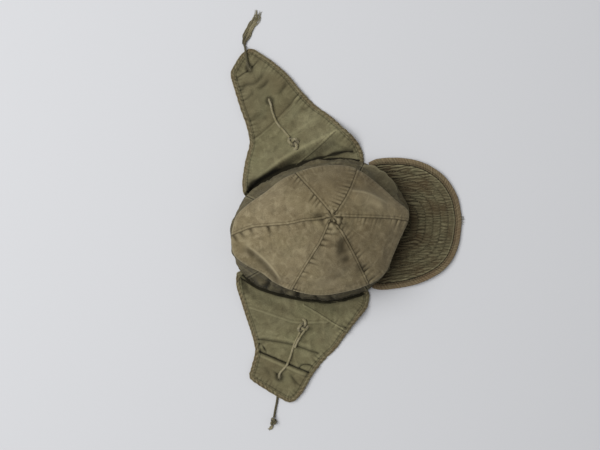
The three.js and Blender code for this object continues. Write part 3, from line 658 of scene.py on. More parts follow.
def crownField(x, y):
    dx, dy = x - apex[0], y - apex[1]
    heading, reach = headingOf(dx, dy), np.hypot(dx, dy)
    rim = rimReach(heading)
    out = np.clip(reach / rim, 0, 1)
    toRim = (1 - out) * rim
    z = bandHeight + 0.4 + crown["rise"] * (1 - out ** crown["fullness"])
    relief, wear, shade = 0 * x, 0 * x, 0 * x
    for i, (line, puckerSide, size) in enumerate(zip(seamLines, crown["puckerSides"], crown["puckerSizes"])):
        side, along = near(x, y, line)
        side = side * puckerSide
        start = smooth(along, 3, 12)
        puckers = beat(along + 0.25 * side, size, 11 + i) * (0.65 + 0.4 * beat(along, 31, 31 + i))
        reachOut = bell(np.maximum(side - 1, 0), 7.5 + beat(along, 9, 41 + i))
        reachOut = reachOut * smooth(side, 0.2, 1.6) * start
        farSide = 0.3 * bell(side + crown["seamHalf"], 3.5) * beat(along, 5.4, 51 + i) * start
        step = smooth(crown["seamHalf"] - np.abs(side + 1.2), 0, 0.8)
        relief += (0.24 * step - 0.8 * bell(side, 0.7)) * start
        relief += 0.95 * puckers * reachOut + farSide - 0.25 * bell(side + 2.6, 0.5) * start
        wear += 0.14 * bell(side + 1.3, 0.5) * start + 0.25 * np.clip(puckers, 0, 1) * reachOut
        shade += 1.05 * bell(side, 0.8) * smooth(along, 1, 5)
        shade += 0.35 * bell(side + crown["seamHalf"], 0.5) * start
        shade += 0.85 * np.clip(-puckers - 0.1, 0, 1) * reachOut
    rimAlong = np.radians(heading) * rim
    rimPuckers = beat(rimAlong, 4.6, 5)
    rowGap = toRim - crown["rimRow"]
    relief += 0.3 * rimPuckers * bell(toRim - 2, 5) - 0.28 * bell(toRim - 1.6, 0.5) - 0.2 * bell(rowGap, 0.5)
    # the rim's edge is paler all round from wear, with a painted highlight added towards the back right
    rimWearAndHighlight = 0.2 + 0.35 * bell((heading + 115 + 180) % 360 - 180, 60)
    wear += rimWearAndHighlight * bell(toRim, 1.4) + 0.12 * np.clip(rimPuckers, 0, 1) * bell(toRim, 6)
    shade += 0.12 * bell(rowGap, 0.6)
    relief -= 1.6 * (1 - smooth(toRim, 0, 2.2))
    for rise, (left, right), paleTint, dark, line in crown["folds"]:
        side, along = near(x, y, curve(line, 30))
        ends = smooth(along, 0, 14) * smooth(np.hypot(x - line[-1][0], y - line[-1][1]), 0, 12)
        z += rise * bell(side, np.where(side > 0, left, right)) * ends
        # painted highlight with wear on each fold's crest, and painted shade on one side of it
        wear += paleTint * bell(side, 1.2) * ends
        shade += dark * bell(side - 5 * np.sign(right - left), 4) * ends
    for (atX, atY), (wide, tall), depth, dark in crown["dents"]:
        hollow = bell(np.hypot((x - atX) / wide, (y - atY) / tall) + 0.25 * ripple(x, y, 16, 24), 1)
        z -= depth * hollow
        shade += dark * hollow
    for (atX, atY), (wide, tall), dark in crown["tones"]:
        patch = bell(np.hypot((x - atX) / wide, (y - atY) / tall) + 0.2 * ripple(x, y, 22, 29), 1)
        shade += max(dark, 0) * patch
        wear += max(-dark, 0) * patch
    pleats = np.sin(np.radians(heading) * 9 + beat(reach, 9, 3)) * bell(reach, 11) * smooth(reach, 0.5, 5)
    crumple = ripple(x, y, 6.5, 8)
    for atX, atY, wide in crown["lumps"]:
        away = np.hypot(x - atX, y - atY) + 0.9 * crumple
        z += 1.3 * bell(away, wide)
        shade += 0.5 * bell(away - wide - 1.1, 1.0) * smooth(ripple(x, y, 12, 7), -1, 0.6)
        wear += 0.2 * bell(away, wide * 0.7)
    bunchX, bunchY, wide = crown["bunch"]
    bunch = bell(np.hypot(x - bunchX, y - bunchY), wide)
    z += 0.8 * pleats + bunch * (0.6 + 1.0 * crumple) - 1.6 * bell(reach, 3.2)
    shade += 0.3 * np.clip(-pleats, 0, 1) + 0.5 * bell(reach, 3) + 0.35 * bunch * smooth(-crumple, 0, 1)
    wear += 0.25 * np.clip(pleats, 0, 1) + 0.25 * bunch * smooth(crumple, 0, 1)
    edge = smooth(toRim, 0, 18)
    lines = veins(x, y, 34, 25) + veins(x, y, 22, 27)
    wear += 0.16 * lines
    z += 0.25 * lines * edge
    z += edge * (1.3 * ripple(x, y, 44, 21) + 0.55 * ripple(x, y, 20, 22)) + 0.12 * ripple(x, y, 8, 23)
    brown = 0.3 * smooth(dx, -20, 60) + 0.45 * bell(dy - 34, 26) * smooth(dx, -70, 0)
    brown = brown - 0.4 * smooth(-dy, 45, 90)
    # painted shade, slightly darker towards the front and over the rear of the left-hand panel, and painted
    # light on the front-left facet on the apex side of the crease and at the front
    shade += 0.02 * smooth(dx, -30, 70) + 0.12 * smooth(dy, 14, 50) * (1 - smooth(dx, 5, 35))
    wear += 0.3 * bell(np.hypot(dx - 52, (dy - 13) * 1.6), 20) + 0.14 * smooth(dx, 40, 85)
    return z + relief, wear, shade, brown


def crownTop(x, y):
    return crownField(x, y)[0]


def seamHeading(line):
    reach = np.hypot(line[1:, 0] - apex[0], line[1:, 1] - apex[1])
    heading = np.unwrap(np.arctan2(line[1:, 1] - apex[1], line[1:, 0] - apex[0]))
    out = reach / rimReach(np.degrees(heading))
    return lambda share: np.degrees(np.interp(share, out / out[-1], heading))


def crowded(count, edge):  # shares from 0 to 1 with closer stations next to both ends
    even = np.linspace(0, 1, count)
    return even - edge * np.sin(2 * math.pi * even) / (2 * math.pi)


seamHeadings = [seamHeading(line) for line in seamLines]


def crownPanel(name, node, i, inset, thickness, columns, rows, material):
    first, second = seamHeadings[i], seamHeadings[(i + 1) % 6]

    def surface(u, v):
        out = mix(0.012, 1, v)
        low, high = first(out), second(out)
        heading = low + ((high - low) % 360) * u
        dx, dy = atHeading(out * (rimReach(heading) - inset), heading)
        x, y = apex[0] + dx, apex[1] + dy
        z, wear, shade, brown = crownField(x, y)
        return {"place": np.column_stack([x, y, z - inset]), "wear": wear, "shade": shade, "brown": brown}

    piece = clothGrid(name, crowded(columns, 0.75), crowded(rows, 0.35), surface, thickness, offset=-1)
    return dress(piece, material, [node], "cap")


for i in range(6):
    k = i + 1
    crownPanel(f"crownPanel_{k}", f"crown_panel_{k}", i, 0, 0.9, 96, 96, crownCloth)
    crownPanel(f"crownLining_{k}", f"crown_lining_{k}", i, 1.6, 0.5, 24, 24, liningCloth)


def gatherSurface(u, v):
    heading, reach = 2 * math.pi * u, 8.2 * v
    x, y = apex[0] + reach * np.cos(heading), apex[1] + reach * np.sin(heading)
    z, wear, shade, _ = crownField(x, y)
    pleat = np.sin(heading * 7 + 3 * v + 0.8 * np.sin(heading * 2))
    z += 0.55 + 0.55 * pleat * smooth(v, 0.1, 0.5) - 1.1 * smooth(v, 0.75, 1)
    shade = shade + 0.35 * smooth(-pleat)
    return {"place": np.column_stack([x, y, z]), "wear": wear + 0.2 * pleat, "shade": shade}


gatherRings = np.linspace(0.02, 1, 16)
gather = clothGrid("crownGather", np.linspace(0, 1, 73), gatherRings, gatherSurface, 0.7, around=True)
dress(gather, crownCloth, ["crown_gather"], "cap")

crownThread = [raised(inside(rimLine, crown["rimRow"]), crownTop, 0.1)]
for line, puckerSide in zip(seamLines, crown["puckerSides"]):
    row = inside(line[5:-1], -crown["seamHalf"] * puckerSide)
    crownThread.append(raised(row, crownTop, 0.1))
dress(stitches("crownStitching", crownThread), threadCotton, [], "cap")
print("crown ready")

# Band

band = {
    "base": [
        (111, 13), (110.6, 26), (107.6, 38.5), (102.3, 52.6), (91.4, 63.3), (77, 74.6), (62, 81.3),
        (48, 86), (26, 89), (0, 88), (-22, 83.8), (-44.3, 76.8), (-70, 65), (-89.5, 51.5), (-100.3, 37),
        (-107, 17.4), (-110, -3), (-109.6, -24), (-105, -41.5), (-98.5, -50.5), (-83.3, -65),
        (-60.6, -74.4), (-39.8, -81), (-16, -86.4), (5.2, -88.8), (30, -86.5), (52, -79.8), (68, -68),
        (79, -52), (90, -31), (101, -12), (108.4, 0),
    ],
    "sections": {"front": (-55.5, 53), "left": (53, 150.5), "back": (150.5, 202.5), "right": (202.5, 304.5)},
    "seams": (53, 150.5, 208.5, 304.5),
    "arcReach": 92,  # turns a heading into a way along the cloth
    "seamReach": 95,
    "hemRows": (1.8, 7.0),
    # heading, width and depth
    "tucks": [(221, 3.2, 3.2), (246, 3.0, 4.0), (262, 2.2, 2.0), (233, 2.0, 1.6), (275, 3.0, 2.0)],
    "cloth": 1.1,
}
baseLine = curve(band["base"], 721, closed=True)
baseReachHead, rimReachHead = polar(baseLine, (0, 0)), polar(rimLine, (0, 0))
bandSeams = band["seams"]


def bandField(degrees, share, inset=0.0):
    base, rim = baseReachHead(degrees), rimReachHead(degrees)
    arc = np.radians(degrees) * band["arcReach"]
    height = share * bandHeight
    free = np.sin(math.pi * np.clip(share, 0, 1))
    slump = 1.8 * free * (0.6 + 0.5 * ripple(arc, height * 2.6, 60, 61))
    folds = 1.9 * ripple(arc + 0.8 * height, height * 1.5, 30, 62) + 0.7 * ripple(arc, height * 1.1, 13, 63)
    folds = free * folds
    turn = degrees % 360
    atRidge = smooth(turn, 14, 27) * (1 - smooth(turn, 48, 58))
    overRidge = height - mix(30, 24, smooth(turn, 28, 50))
    ridge = bell(overRidge, np.where(overRidge > 0, 3.5, 7)) * atRidge
    hollow = bell(height - 44, 7) * atRidge
    below = smooth(turn, 196, 215) * (1 - smooth(turn, 300, 330))
    relief = 0 * arc
    # painted light along the front-left ridge and over that face, painted shade above the ridge and on the
    # right-hand side turned from the lamp
    wear = (0.12 + 0.5 * bell(overRidge, 1.6)) * atRidge
    shade = 0.25 * smooth(overRidge, 0, 4) * atRidge + 0.2 * below
    for tuck, wide, deep in band["tucks"]:
        gap = (turn - tuck) * math.pi / 180 * band["seamReach"] + 0.15 * (height - 30)
        relief -= deep * bell(gap, wide) * free
        shade += 0.22 * deep * bell(gap, wide) * smooth(height, 4, 20)
    for i, seam in enumerate(bandSeams):
        gap = np.abs((degrees - seam + 180) % 360 - 180) * math.pi / 180 * band["seamReach"]
        relief += 0.5 * smooth(3.6 - gap, 0, 0.8) - 0.55 * bell(gap, 0.5)
        relief += 0.5 * beat(height, 6, 71 + i) * bell(gap - 4, 4)
        shade += 0.7 * bell(gap, 0.5)
        wear += 0.4 * bell(gap - 1.5, 0.7)
    topPuckers, hemPuckers = beat(arc, 4.8, 65), beat(arc, 5.6, 66)
    relief += 0.45 * topPuckers * bell(height - bandHeight, 7) + 0.35 * hemPuckers * bell(height - 5, 4)
    rows = bell(height - band["hemRows"][0], 0.5) + bell(height - band["hemRows"][1], 0.5)
    relief -= 0.3 * rows
    shade += 0.3 * rows + 0.35 * bell(height - bandHeight, 5)
    shade += 0.3 * np.clip(-topPuckers, 0, 1) * bell(height - bandHeight, 9)
    shade += mix(0.3, 0.6, below) * bell(height, mix(5, 16, below))
    wear += 0.35 * bell(height, 1.2) + 0.25 * np.clip(hemPuckers, 0, 1) * bell(height - 4, 3)
    radius = mix(base, rim, share) + slump + folds + 5.5 * ridge - 4.5 * hollow + relief - 1.2 - inset
    place = np.column_stack([*atHeading(radius, degrees), height])
    return {"place": place, "wear": wear, "shade": shade, "flat": np.column_stack([arc, height])}


def bandSheet(name, first, last, low, high, inset, thickness, columns, rows, around=False):
    def surface(u, v):
        return bandField(mix(first, last, u), mix(low, high, v) / bandHeight, inset)

    along = np.linspace(0, 1, rows)
    across = np.linspace(0, 1, columns) if around else crowded(columns, 0.3)
    return clothGrid(name, across, along, surface, thickness, offset=-1, around=around)


for section, (first, last) in band["sections"].items():
    columns = round((last - first) * 1.55)
    top = bandHeight - 0.1
    piece = bandSheet(f"band_{section}_cloth", first, last, 0.65, top, 0, band["cloth"], columns, 54)
    dress(piece, bandCloth, [f"band_{section}"], "cap")
inner = bandSheet("bandInnerLining", 0, 360, 2.2, 57, 2.0, 0.6, 241, 24, around=True)
dress(inner, liningCloth, ["band_lining"], "cap")


def sweatbandSurface(u, v):
    degrees, share = 360 * u, mix(2.0, 34, v) / bandHeight
    made = bandField(degrees, share, 3.6)
    arc = np.radians(degrees) * band["arcReach"]
    curl = 1.2 * smooth(v, 0.9, 1) + 0.5 * beat(arc, 22, 81) * smooth(v, 0.5, 1)
    made["place"][:, :2] -= np.column_stack(atHeading(curl, degrees))
    made["shade"] = 0.5 * bell(v - 0.07, 0.02) + 0.5 * bell(v - 0.93, 0.02)
    return made


rounds, heights = np.linspace(0, 1, 241), np.linspace(0, 1, 24)
sweat = clothGrid("sweatbandTape", rounds, heights, sweatbandSurface, 1.0, offset=-1, around=True)
dress(sweat, sweatbandCloth, ["sweatband"], "cap")

turns = np.linspace(0, 360, 721)
bandThread = []
for height in (*band["hemRows"], bandHeight - 3.5):
    bandThread.append(bandField(turns, 0 * turns + height / bandHeight, -0.15)["place"])
for seam in bandSeams:
    shares = np.linspace(0.03, 0.97, 30)
    bandThread += [bandField(0 * shares + seam + offset, shares, -0.15)["place"] for offset in (-1.3, 1.3)]
dress(stitches("bandStitching", bandThread), threadCotton, [], "cap")
print("band ready")

# Visor

visorFold = fromRow(joints["visor_fold"]["pos_m"])
visor = {
    "edge": [
        (66, 80.5), (78, 84.3), (100.4, 84), (120.2, 80.4), (135.4, 74.6), (147.1, 67.3), (158.2, 57.8),
        (167.6, 44.3), (174.3, 28.7), (176.6, 12.6), (177, 2), (175.7, -8.9), (171.2, -28.4),
        (162.6, -46.2), (149.6, -59.5), (133.1, -68.5), (112.6, -75.1), (88.5, -78.1), (70, -78.4),
        (59, -75.5),
    ],
    "thickness": 3.1,
    "binding": 7.8,
    "stitchIn": 1.9,  # the binding's stitches, from its inner edge
    "rowPitch": 9.4,
    "pucker": 3.3,
    "bendWidth": 8,
}
visorLine = curve(visor["edge"], 300)
visorInward = -1  # the outline runs clockwise, so its inside is on the right


def visorMiddle(x):
    past = np.clip((x - visorFold[0]) / (177.5 - visorFold[0]), 0, 1)
    return mix(visorFold[2], 0.8, past * past) + 1.9


def visorField(x, y):
    side, along = near(x, y, visorLine)
    gap = np.abs(side)
    row = (gap - visor["binding"]) / visor["rowPitch"]
    phase = row - np.floor(row)
    puff = np.sin(math.pi * phase) ** 0.6
    puckers = 0 * x
    wander = 1.1 * ripple(x * 0.5, y, 13, 89)
    for k in range(-1, 14):
        chosen = np.floor(row) == k
        rowPuckers = beat(y + 0.1 * x + wander, visor["pucker"], 90 + k, 3, (0.85, 1.25))
        puckers = np.where(chosen, rowPuckers, puckers)
    loose = 1.2 * ripple(x * 0.42, y, visor["pucker"], 97, waves=16, turns=(0.9, math.pi - 0.9))
    puckers = mix(loose, puckers, 0.8 * smooth(bell(y, 56)))
    relief = 0.4 * puff - 0.2 + 0.46 * puckers * (0.4 + 0.6 * puff) - 0.5 * bell(gap - visor["binding"], 1.0)
    toBand = np.hypot(x, y) - baseReachHead(headingOf(x, y))
    shade = 0.5 * bell(phase * visor["rowPitch"], 0.7) + 0.5 * bell((1 - phase) * visor["rowPitch"], 0.7)
    shade += 0.5 * np.clip(-puckers - 0.1, 0, 1) + 0.3 * bell(toBand, 12)
    shade += 0.8 * bell(gap - visor["binding"], 1.0)
    wear = 0.36 * np.clip(puckers - 0.05, 0, 1) * (0.4 + 0.6 * puff)
    wear += 0.5 * bell(gap - visor["binding"] - visor["stitchIn"], 0.5)
    brown = 0.6 * bell(toBand, 24) + 0.35 * ripple(x, y, 30, 96)
    relief += 0.35 * ripple(x, y, 34, 92)
    return visorMiddle(x) + relief, wear, shade, brown


def visorPlace(u, v, inset):
    outer = pointAt(np.column_stack([inside(visorLine, visorInward * inset)]), mix(0.03, 0.97, u))
    degrees = mix(47, -47, u)
    foot = bandField(degrees, 0 * degrees + 0.04)["place"]
    rootX, rootY = atHeading(np.hypot(foot[:, 0], foot[:, 1]) - 1.8, degrees)
    return mix(rootX, outer[:, 0], v), mix(rootY, outer[:, 1], v)


def visorTop(u, v):
    x, y = visorPlace(u, v, visor["binding"] - 2.2)
    z, wear, shade, brown = visorField(x, y)
    flat = np.column_stack([x * 0.5, y])  # the cloth's flecks are long along x
    place = np.column_stack([x, y, z + 0.35])
    return {"place": place, "wear": wear, "shade": shade, "brown": brown, "flat": flat}


def visorBelow(u, v):
    x, y = visorPlace(u, v, visor["binding"] - 2.2)
    z, _, shade, _ = visorField(x, y)
    z = visorMiddle(x) - 1.0 + 0.25 * (z - visorMiddle(x))
    return {"place": np.column_stack([x, y, z]), "shade": shade * 0.4}


top = clothGrid("visorQuiltedTop", np.linspace(0, 1, 190), np.linspace(0, 1, 84), visorTop, 1.0)
dress(top, visorCloth, ["visor_root_top", "visor_top", "visor_stiffener"])
below = clothGrid("visorUndersideCloth", np.linspace(0, 1, 96), np.linspace(0, 1, 40), visorBelow, 0.7)
dress(below, liningCloth, ["visor_root_underside", "visor_underside"])


def bindingSurface(u, v):
    width, tall = visor["binding"] / 2, (visor["thickness"] + 0.7) / 2
    line, inwards, flatten, offset, lift = foldedTape(visorLine, u, v, visor["binding"])
    along = v * 420
    puckers = beat(along + 0.8 * width * flatten, 4.4, 95)
    x, y = line[:, 0] + inwards[:, 0] * offset, line[:, 1] + inwards[:, 1] * offset
    stitched = bell(offset - visor["binding"] + visor["stitchIn"], 0.5)
    grow = 1 + 0.1 * puckers * (1 - np.abs(flatten) ** 6)
    z = visorMiddle(x) + lift * (tall * grow - 0.35 * stitched)
    wear = 0.25 * bell(offset - 1, 1.4) + 0.22 * np.clip(puckers, 0, 1)
    wear += 0.3 * bell(offset - visor["binding"] + 3.2, 0.6)
    shade = 0.75 * stitched + 0.2 * np.clip(-puckers, 0, 1) + 0.5 * bell(offset - visor["binding"], 0.8)
    brown = 0.5 * bell(offset, 1.2) + 0.25 * smooth(v, 0.3, 0.6) + 0.25 * beat(along, 60, 98)
    flat = np.column_stack([along, offset])
    return {"place": np.column_stack([x, y, z]), "wear": wear, "shade": shade, "brown": brown, "flat": flat}


ring = np.linspace(0, 1, 29)
binding = clothGrid("visorBindingTape", ring, np.linspace(0.0, 1.0, 420), bindingSurface, 0, around=True)
bindingNodes = ["visor_binding", "visor_root_binding_left", "visor_root_binding_right"]
dress(binding, bindingCloth, bindingNodes)

visorThread = []
for k in range(7):
    inset = visor["binding"] + k * visor["rowPitch"]
    row = inside(visorLine, visorInward * inset)
    keep = np.hypot(row[:, 0], row[:, 1]) > baseReachHead(headingOf(row[:, 0], row[:, 1])) + 1
    keep &= row[:, 0] > 66
    visorThread.append(raised(row[keep], lambda x, y: visorField(x, y)[0], 0.95))
edgeRow = inside(visorLine, visorInward * (visor["binding"] - visor["stitchIn"]))[6:-6]
visorThread.append(raised(edgeRow, lambda x, y: visorMiddle(x), visor["thickness"] / 2 + 0.2))
dress(stitches("visorStitching", visorThread), threadCotton, [])

frayed = []
for k in range(9):
    rng = np.random.default_rng(130 + k)
    y = rng.uniform(-4.5, 5)
    reach, lean, lift = rng.uniform(1.2, 3.6), rng.uniform(-2.5, 2.5), rng.uniform(0.2, 1.2)
    hair = [(175.5, y, 2.2), (177.2, y + 0.3 * lean, 2.2 + lift), (177.6 + reach, y + lean, 1.6 + 0.6 * lift)]
    yarn = tube(f"visorFray_{k}", curve(hair, 12), lambda turn, along: 0.22 + 0 * turn, sides=5, pitch=0.6)
    frayed.append(yarn[0])
frayed[0].name = frayed[0].data.name = "visorFrayedYarn"
dress(joined(frayed), threadCotton, [], "visor")
print("visor ready")

# Ear flaps

flaps = {
    "left": {
        "side": 1,
        "back": [
            (-90.5, 51), (-92, 60), (-91.6, 70), (-87.3, 91), (-83.5, 103), (-79.6, 117), (-82, 137.3),
            (-87.9, 159.2), (-93.9, 185.6), (-96.6, 198.3), (-96.2, 205.8),
        ],
        "tip": [(-91.9, 213), (-83.5, 224.6), (-74.3, 231.5), (-68, 232.4), (-61.6, 228.9)],
        "front": [
            (-51.7, 221.4), (-41.9, 213.4), (-25.6, 196.8), (-10.7, 176), (6.4, 156.5), (24, 141.2),
            (38.5, 124.8), (52.6, 109.5), (59.8, 95), (60.5, 83),
        ],
        "span": (150, 53.5),
        "ridge": [
            (-90, 52), (-75.6, 69.4), (-59.5, 79.6), (-43.3, 90.5), (-22.1, 101.1), (1.1, 110.6),
            (27.6, 120), (44, 122),
        ],
        "ridgeHeight": 11.5,
        "valley": [
            (-88, 52), (-84, 57), (-69, 68.5), (-44.5, 79), (-19.3, 85), (10.4, 91.5), (36, 96), (47, 96),
        ],
        "valleyWidth": (4.2, 1.9),
        "lift": (58, 68),
        "seam": [(-23.4, 83.5), (2, 101.5), (27.9, 120.6)],
        # rise, width, paleness on a raised crease from wear and painted highlight, painted shade along the
        # crease, and the line
        "creases": [
            (0.5, 0.9, 0.2, 0.1, [(-79, 113.5), (-62, 126), (-46.7, 137.7), (-27, 154), (-8.5, 172)]),
            (-0.8, 1.2, 0.2, 0.35, [(-80, 117), (-63, 128), (-48, 140), (-29, 157), (-12, 174)]),
            (-0.6, 1.0, 0.2, 0.8, [(-93.5, 194), (-82, 201.5), (-71.6, 207), (-59.7, 219)]),
            (-1.4, 3, 0.2, 0.25, [(-84, 140), (-70, 146), (-52, 148)]),
            (-1.6, 3, 0.2, 0.5, [(-66, 181), (-56, 186), (-48, 196)]),
            (-1.6, 3, 0.2, 0.45, [(-88, 180), (-78, 188), (-66, 190), (-54, 202)]),
            (-1.6, 3, 0.2, 0.45, [(-42, 172), (-34, 178), (-26, 190)]),
            (-1.3, 2.6, 0.2, 0.4, [(-88, 168), (-80, 170), (-72, 176), (-70, 184)]),
            (0.9, 3, 0.2, 0.0, [(-40, 118), (-24, 124), (-6, 134), (10, 142)]),
            (-1.0, 2.5, 0.2, 0.2, [(-24, 144), (-12, 152), (0, 156)]),
            (1.0, 4, 0.2, 0.05, [(10, 116), (30, 108), (52, 98)]),
            (-1.0, 3, 0.2, 0.2, [(20, 112), (38, 100), (56, 92)]),
        ],
        "tipTone": [(-79, 113.5), (-46.7, 137.7), (-8.5, 172)],
        "eyelets": [(-51, 166, 108), (-73, 208.5, 107)],
        "pinches": [(-19, 166, 7), (-88, 182, 6)],
    },
    "right": {
        "side": -1,
        "back": [
            (-107.5, 45), (-108.4, 60.7), (-104.7, 78.4), (-99.8, 100), (-95.2, 119), (-92.3, 134),
            (-92, 145), (-96.5, 159), (-101, 172.3), (-98.7, 178.7),
        ],
        "tip": [(-84, 190.4), (-67.4, 202.2), (-56, 209.1), (-47.9, 208.7)],
        "front": [
            (-36.4, 198.3), (-21.8, 176.9), (-4.8, 159.4), (9, 147.9), (21.4, 132.6), (38.7, 112.3),
            (51.3, 98.6), (55.5, 83),
        ],
        "span": (202.8, 304),
        "ridge": [(-106, 60), (-88, 84), (-54, 101), (-36, 107), (2.8, 111.5), (40, 108)],
        "ridgeHeight": 8.5,
        "valley": [
            (-108, 47), (-98, 55), (-82, 66.5), (-60, 76), (-39, 82.5), (-16, 88), (5, 90.5), (30, 88),
            (52, 82),
        ],
        "valleyWidth": (0.9, 0.5),
        "lift": (62, 74),
        "seam": [(-26.2, 90), (4.1, 110.4), (22.7, 123.2), (30, 128)],
        # rise, width, paleness on a raised crease from wear and painted highlight, painted shade along the
        # crease, and the line
        "creases": [
            (1.1, 1.6, 0.4, 0.22, [(-98, 86), (-76, 94.5), (-53.9, 104.4), (-35.7, 110.5), (2.8, 112.3)]),
            (-1.8, 2.0, 0.2, 0.65, [(-90, 128), (-66, 133), (-44, 138.9), (-19.8, 149.4), (-8, 152.7)]),
            (1.0, 2.4, 0.2, 0, [(-88, 124), (-66, 128), (-44, 134), (-19.8, 144)]),
            (-3.2, 1.7, 0.2, 1.5, [
                (-91.5, 142.5), (-86.7, 144.6), (-61.5, 157.4), (-27.9, 174.2), (-22, 177),
            ]),
            (2.6, 1.8, 0.45, 0, [(-92.5, 147.5), (-86, 149.2), (-61.5, 161.2), (-29, 178.4)]),
            (-1.6, 1.3, 0.2, 0.6, [(-88, 131), (-86, 136), (-86.5, 142)]),
            (-2.2, 1.4, 0.2, 0.95, [(-84.5, 134), (-81, 139), (-77, 147.5)]),
            (-2.0, 1.4, 0.2, 0.9, [(-40, 171), (-37, 166.5), (-31, 164.5), (-20, 167.5)]),
            (-1.4, 2.2, 0.2, 0.5, [(-52, 172), (-46, 182), (-38, 192)]),
            (-1.2, 3, 0.2, 0.3, [(-84, 160), (-78, 168), (-74, 178)]),
            (-1.2, 2, 0.2, 0.45, [(-74, 168), (-68, 172), (-64, 178)]),
        ],
        "tipTone": [(-91.5, 144), (-61.5, 158.5), (-26, 176)],
        "eyelets": [(-64, 177, 106)],
        "pinches": [(20, 127, 7.5), (-14, 158, 6), (-88, 138, 5)],
    },
}
flapCloths = {
    "thickness": 2.5, "hem": 6.0, "hemRise": 0.5, "hemRows": (1.5, 4.9), "fall": 45, "eyelet": (8.5, 3.2),
    "underBand": 4.5, "bendWidth": 9,
}


def flapHinge(name):  # a point on the fold line and its outward direction, with y outwards
    joint, side = joints[f"flap_{name}_fold"], flaps[name]["side"]
    point = fromRow(joint["pos_m"])
    axis = np.array(joint["axis"]) * (1 if joint["axis"][0] > 0 else -1)
    outward = np.array([-axis[1], axis[0]]) * side
    return np.array([point[0], side * point[1]]), np.array([outward[0], side * outward[1]])


def flapPosts(flap):  # both ends run on under the band
    ends = []
    for x, y in (flap["back"][0], flap["front"][-1]):
        heading = math.degrees(math.atan2(flap["side"] * y, x))
        ends.append(np.array([x, y]) * (baseReachHead(heading) - flapCloths["underBand"]) / math.hypot(x, y))
    return np.array([ends[0], *flap["back"], *flap["tip"], *flap["front"], ends[1]])


def flapFields(name):
    flap = flaps[name]
    side = flap["side"]
    outline = curve(flapPosts(flap), 440)
    ridge, seam, tone = curve(flap["ridge"], 60), curve(flap["seam"], 40), curve(flap["tipTone"], 30)
    valley = curve(flap["valley"], 60)
    creases = [(*crease[:4], curve(crease[4], 30)) for crease in flap["creases"]]
    hingePoint, outward = flapHinge(name)

    # x runs forwards and y outwards here, so both flaps share one description
    def base(x, y):
        past, _ = near(x, y, ridge)
        hinge = (x - hingePoint[0]) * outward[0] + (y - hingePoint[1]) * outward[1]
        fall = np.clip(1 - past / flapCloths["fall"], 0, 1)
        toBand = np.maximum(np.hypot(x, y) - baseReachHead(headingOf(x, side * y)), 0)
        climb = smooth(toBand / np.maximum(toBand - past, 6.0) * 1.05)
        outer = flap["ridgeHeight"] * fall * fall
        inner = 0.4 + (flap["ridgeHeight"] - 0.4) * climb**1.7
        lifted = 2.7 * smooth(hinge, *flap["lift"])
        return 1.9 + np.where(past > 0, outer, inner) + lifted, past, toBand

    def field(x, y):
        z, past, toBand = base(x, y)
        gap, along = near(x, y, outline)
        gap = np.abs(gap)
        relief, wear, shade = 0 * x, 0 * x, 0 * x
        for rise, width, paleTint, dark, line in creases:
            away, place = near(x, y, line)
            ends = smooth(place, -1, 8) * smooth(lengthOf(line) - place, -1, 8)
            relief += rise * bell(away, width) * ends
            shade += dark * bell(away + (1.2 if rise > 0 else 0), width * 0.85) * ends
            wear += paleTint * (rise > 0) * bell(away, width * 0.6) * ends
        away, place = near(x, y, seam)
        puckers = beat(place, 5.5, 101 + side)
        relief += 0.55 * smooth(3.8 - np.abs(away - 1.8), 0, 0.8) - 0.55 * bell(away, 0.55)
        relief += 0.3 * puckers * bell(np.abs(away) - 4, 4)
        shade += 0.75 * bell(away, 0.5)
        wear += 0.5 * bell(away - 1.5, 0.8)
        hemPuckers = beat(along, 5.2, 103 + side)
        pinch = 0 * x
        for pinchX, pinchY, reach in flap["pinches"]:
            pinch += bell(np.hypot(x - pinchX, y - pinchY), reach)
        nearHem = bell(np.maximum(gap - flapCloths["hem"], 0), 6 + 4 * pinch)
        nearHem = nearHem * (0.8 + 1.3 * pinch + 0.35 * beat(along, 37, 125 + side))
        relief += 0.38 * hemPuckers * nearHem
        shade += 0.28 * np.clip(-hemPuckers, 0, 1) * nearHem + 0.45 * bell(gap - flapCloths["hem"] - 0.6, 0.8)
        wear += 0.2 * np.clip(hemPuckers, 0, 1) * nearHem
        tipSide, _ = near(x, y, tone)
        shade += 0.03 * smooth(tipSide, -1.5, 2.5)
        brown = 0.45 * smooth(tipSide, -1.5, 2.5) + 0.2 * ripple(x, y, 40, 109 + side)
        for eyeX, eyeY, _ in flap["eyelets"]:
            around = np.hypot(x - eyeX, y - eyeY)
            relief -= 0.5 * bell(around - 7, 4)
            shade += 0.7 * bell(around - 3, 3)
        inPocket, toPocket = near(x, y, valley)
        wide = mix(*flap["valleyWidth"], smooth(toPocket, 20, 95))
        wide = wide * (1 + 0.35 * beat(toPocket, 24, 119 + side))
        z -= 2.0 * bell(inPocket, wide)
        shade += 1.3 * bell(inPocket, wide) + 0.3 * bell(inPocket, wide + 3) + 1.0 * bell(toBand, 0.7)
        # painted shade in the left flap's pocket between band and ridge, and a painted highlight along the
        # ridge's crest
        shade += 0.35 * smooth(-past, 2, 18) * (1 - smooth(toPocket, 70, 130)) * (side > 0)
        wear += 0.35 * bell(past, 1.6) * (side > 0)
        lines = veins(x, y, 30, 121 + side)
        wear += 0.14 * lines
        relief += 0.2 * lines
        soft = smooth(gap, 2, 14)
        drape = 1.1 * ripple(x * 0.7 - y * 0.7, (x + y) * 0.4, 30, 105 + side)
        relief += soft * (drape + 0.4 * ripple(x, y, 13, 107 + side))
        return np.maximum(z + relief, 1.55), wear, shade, brown

    return outline, field


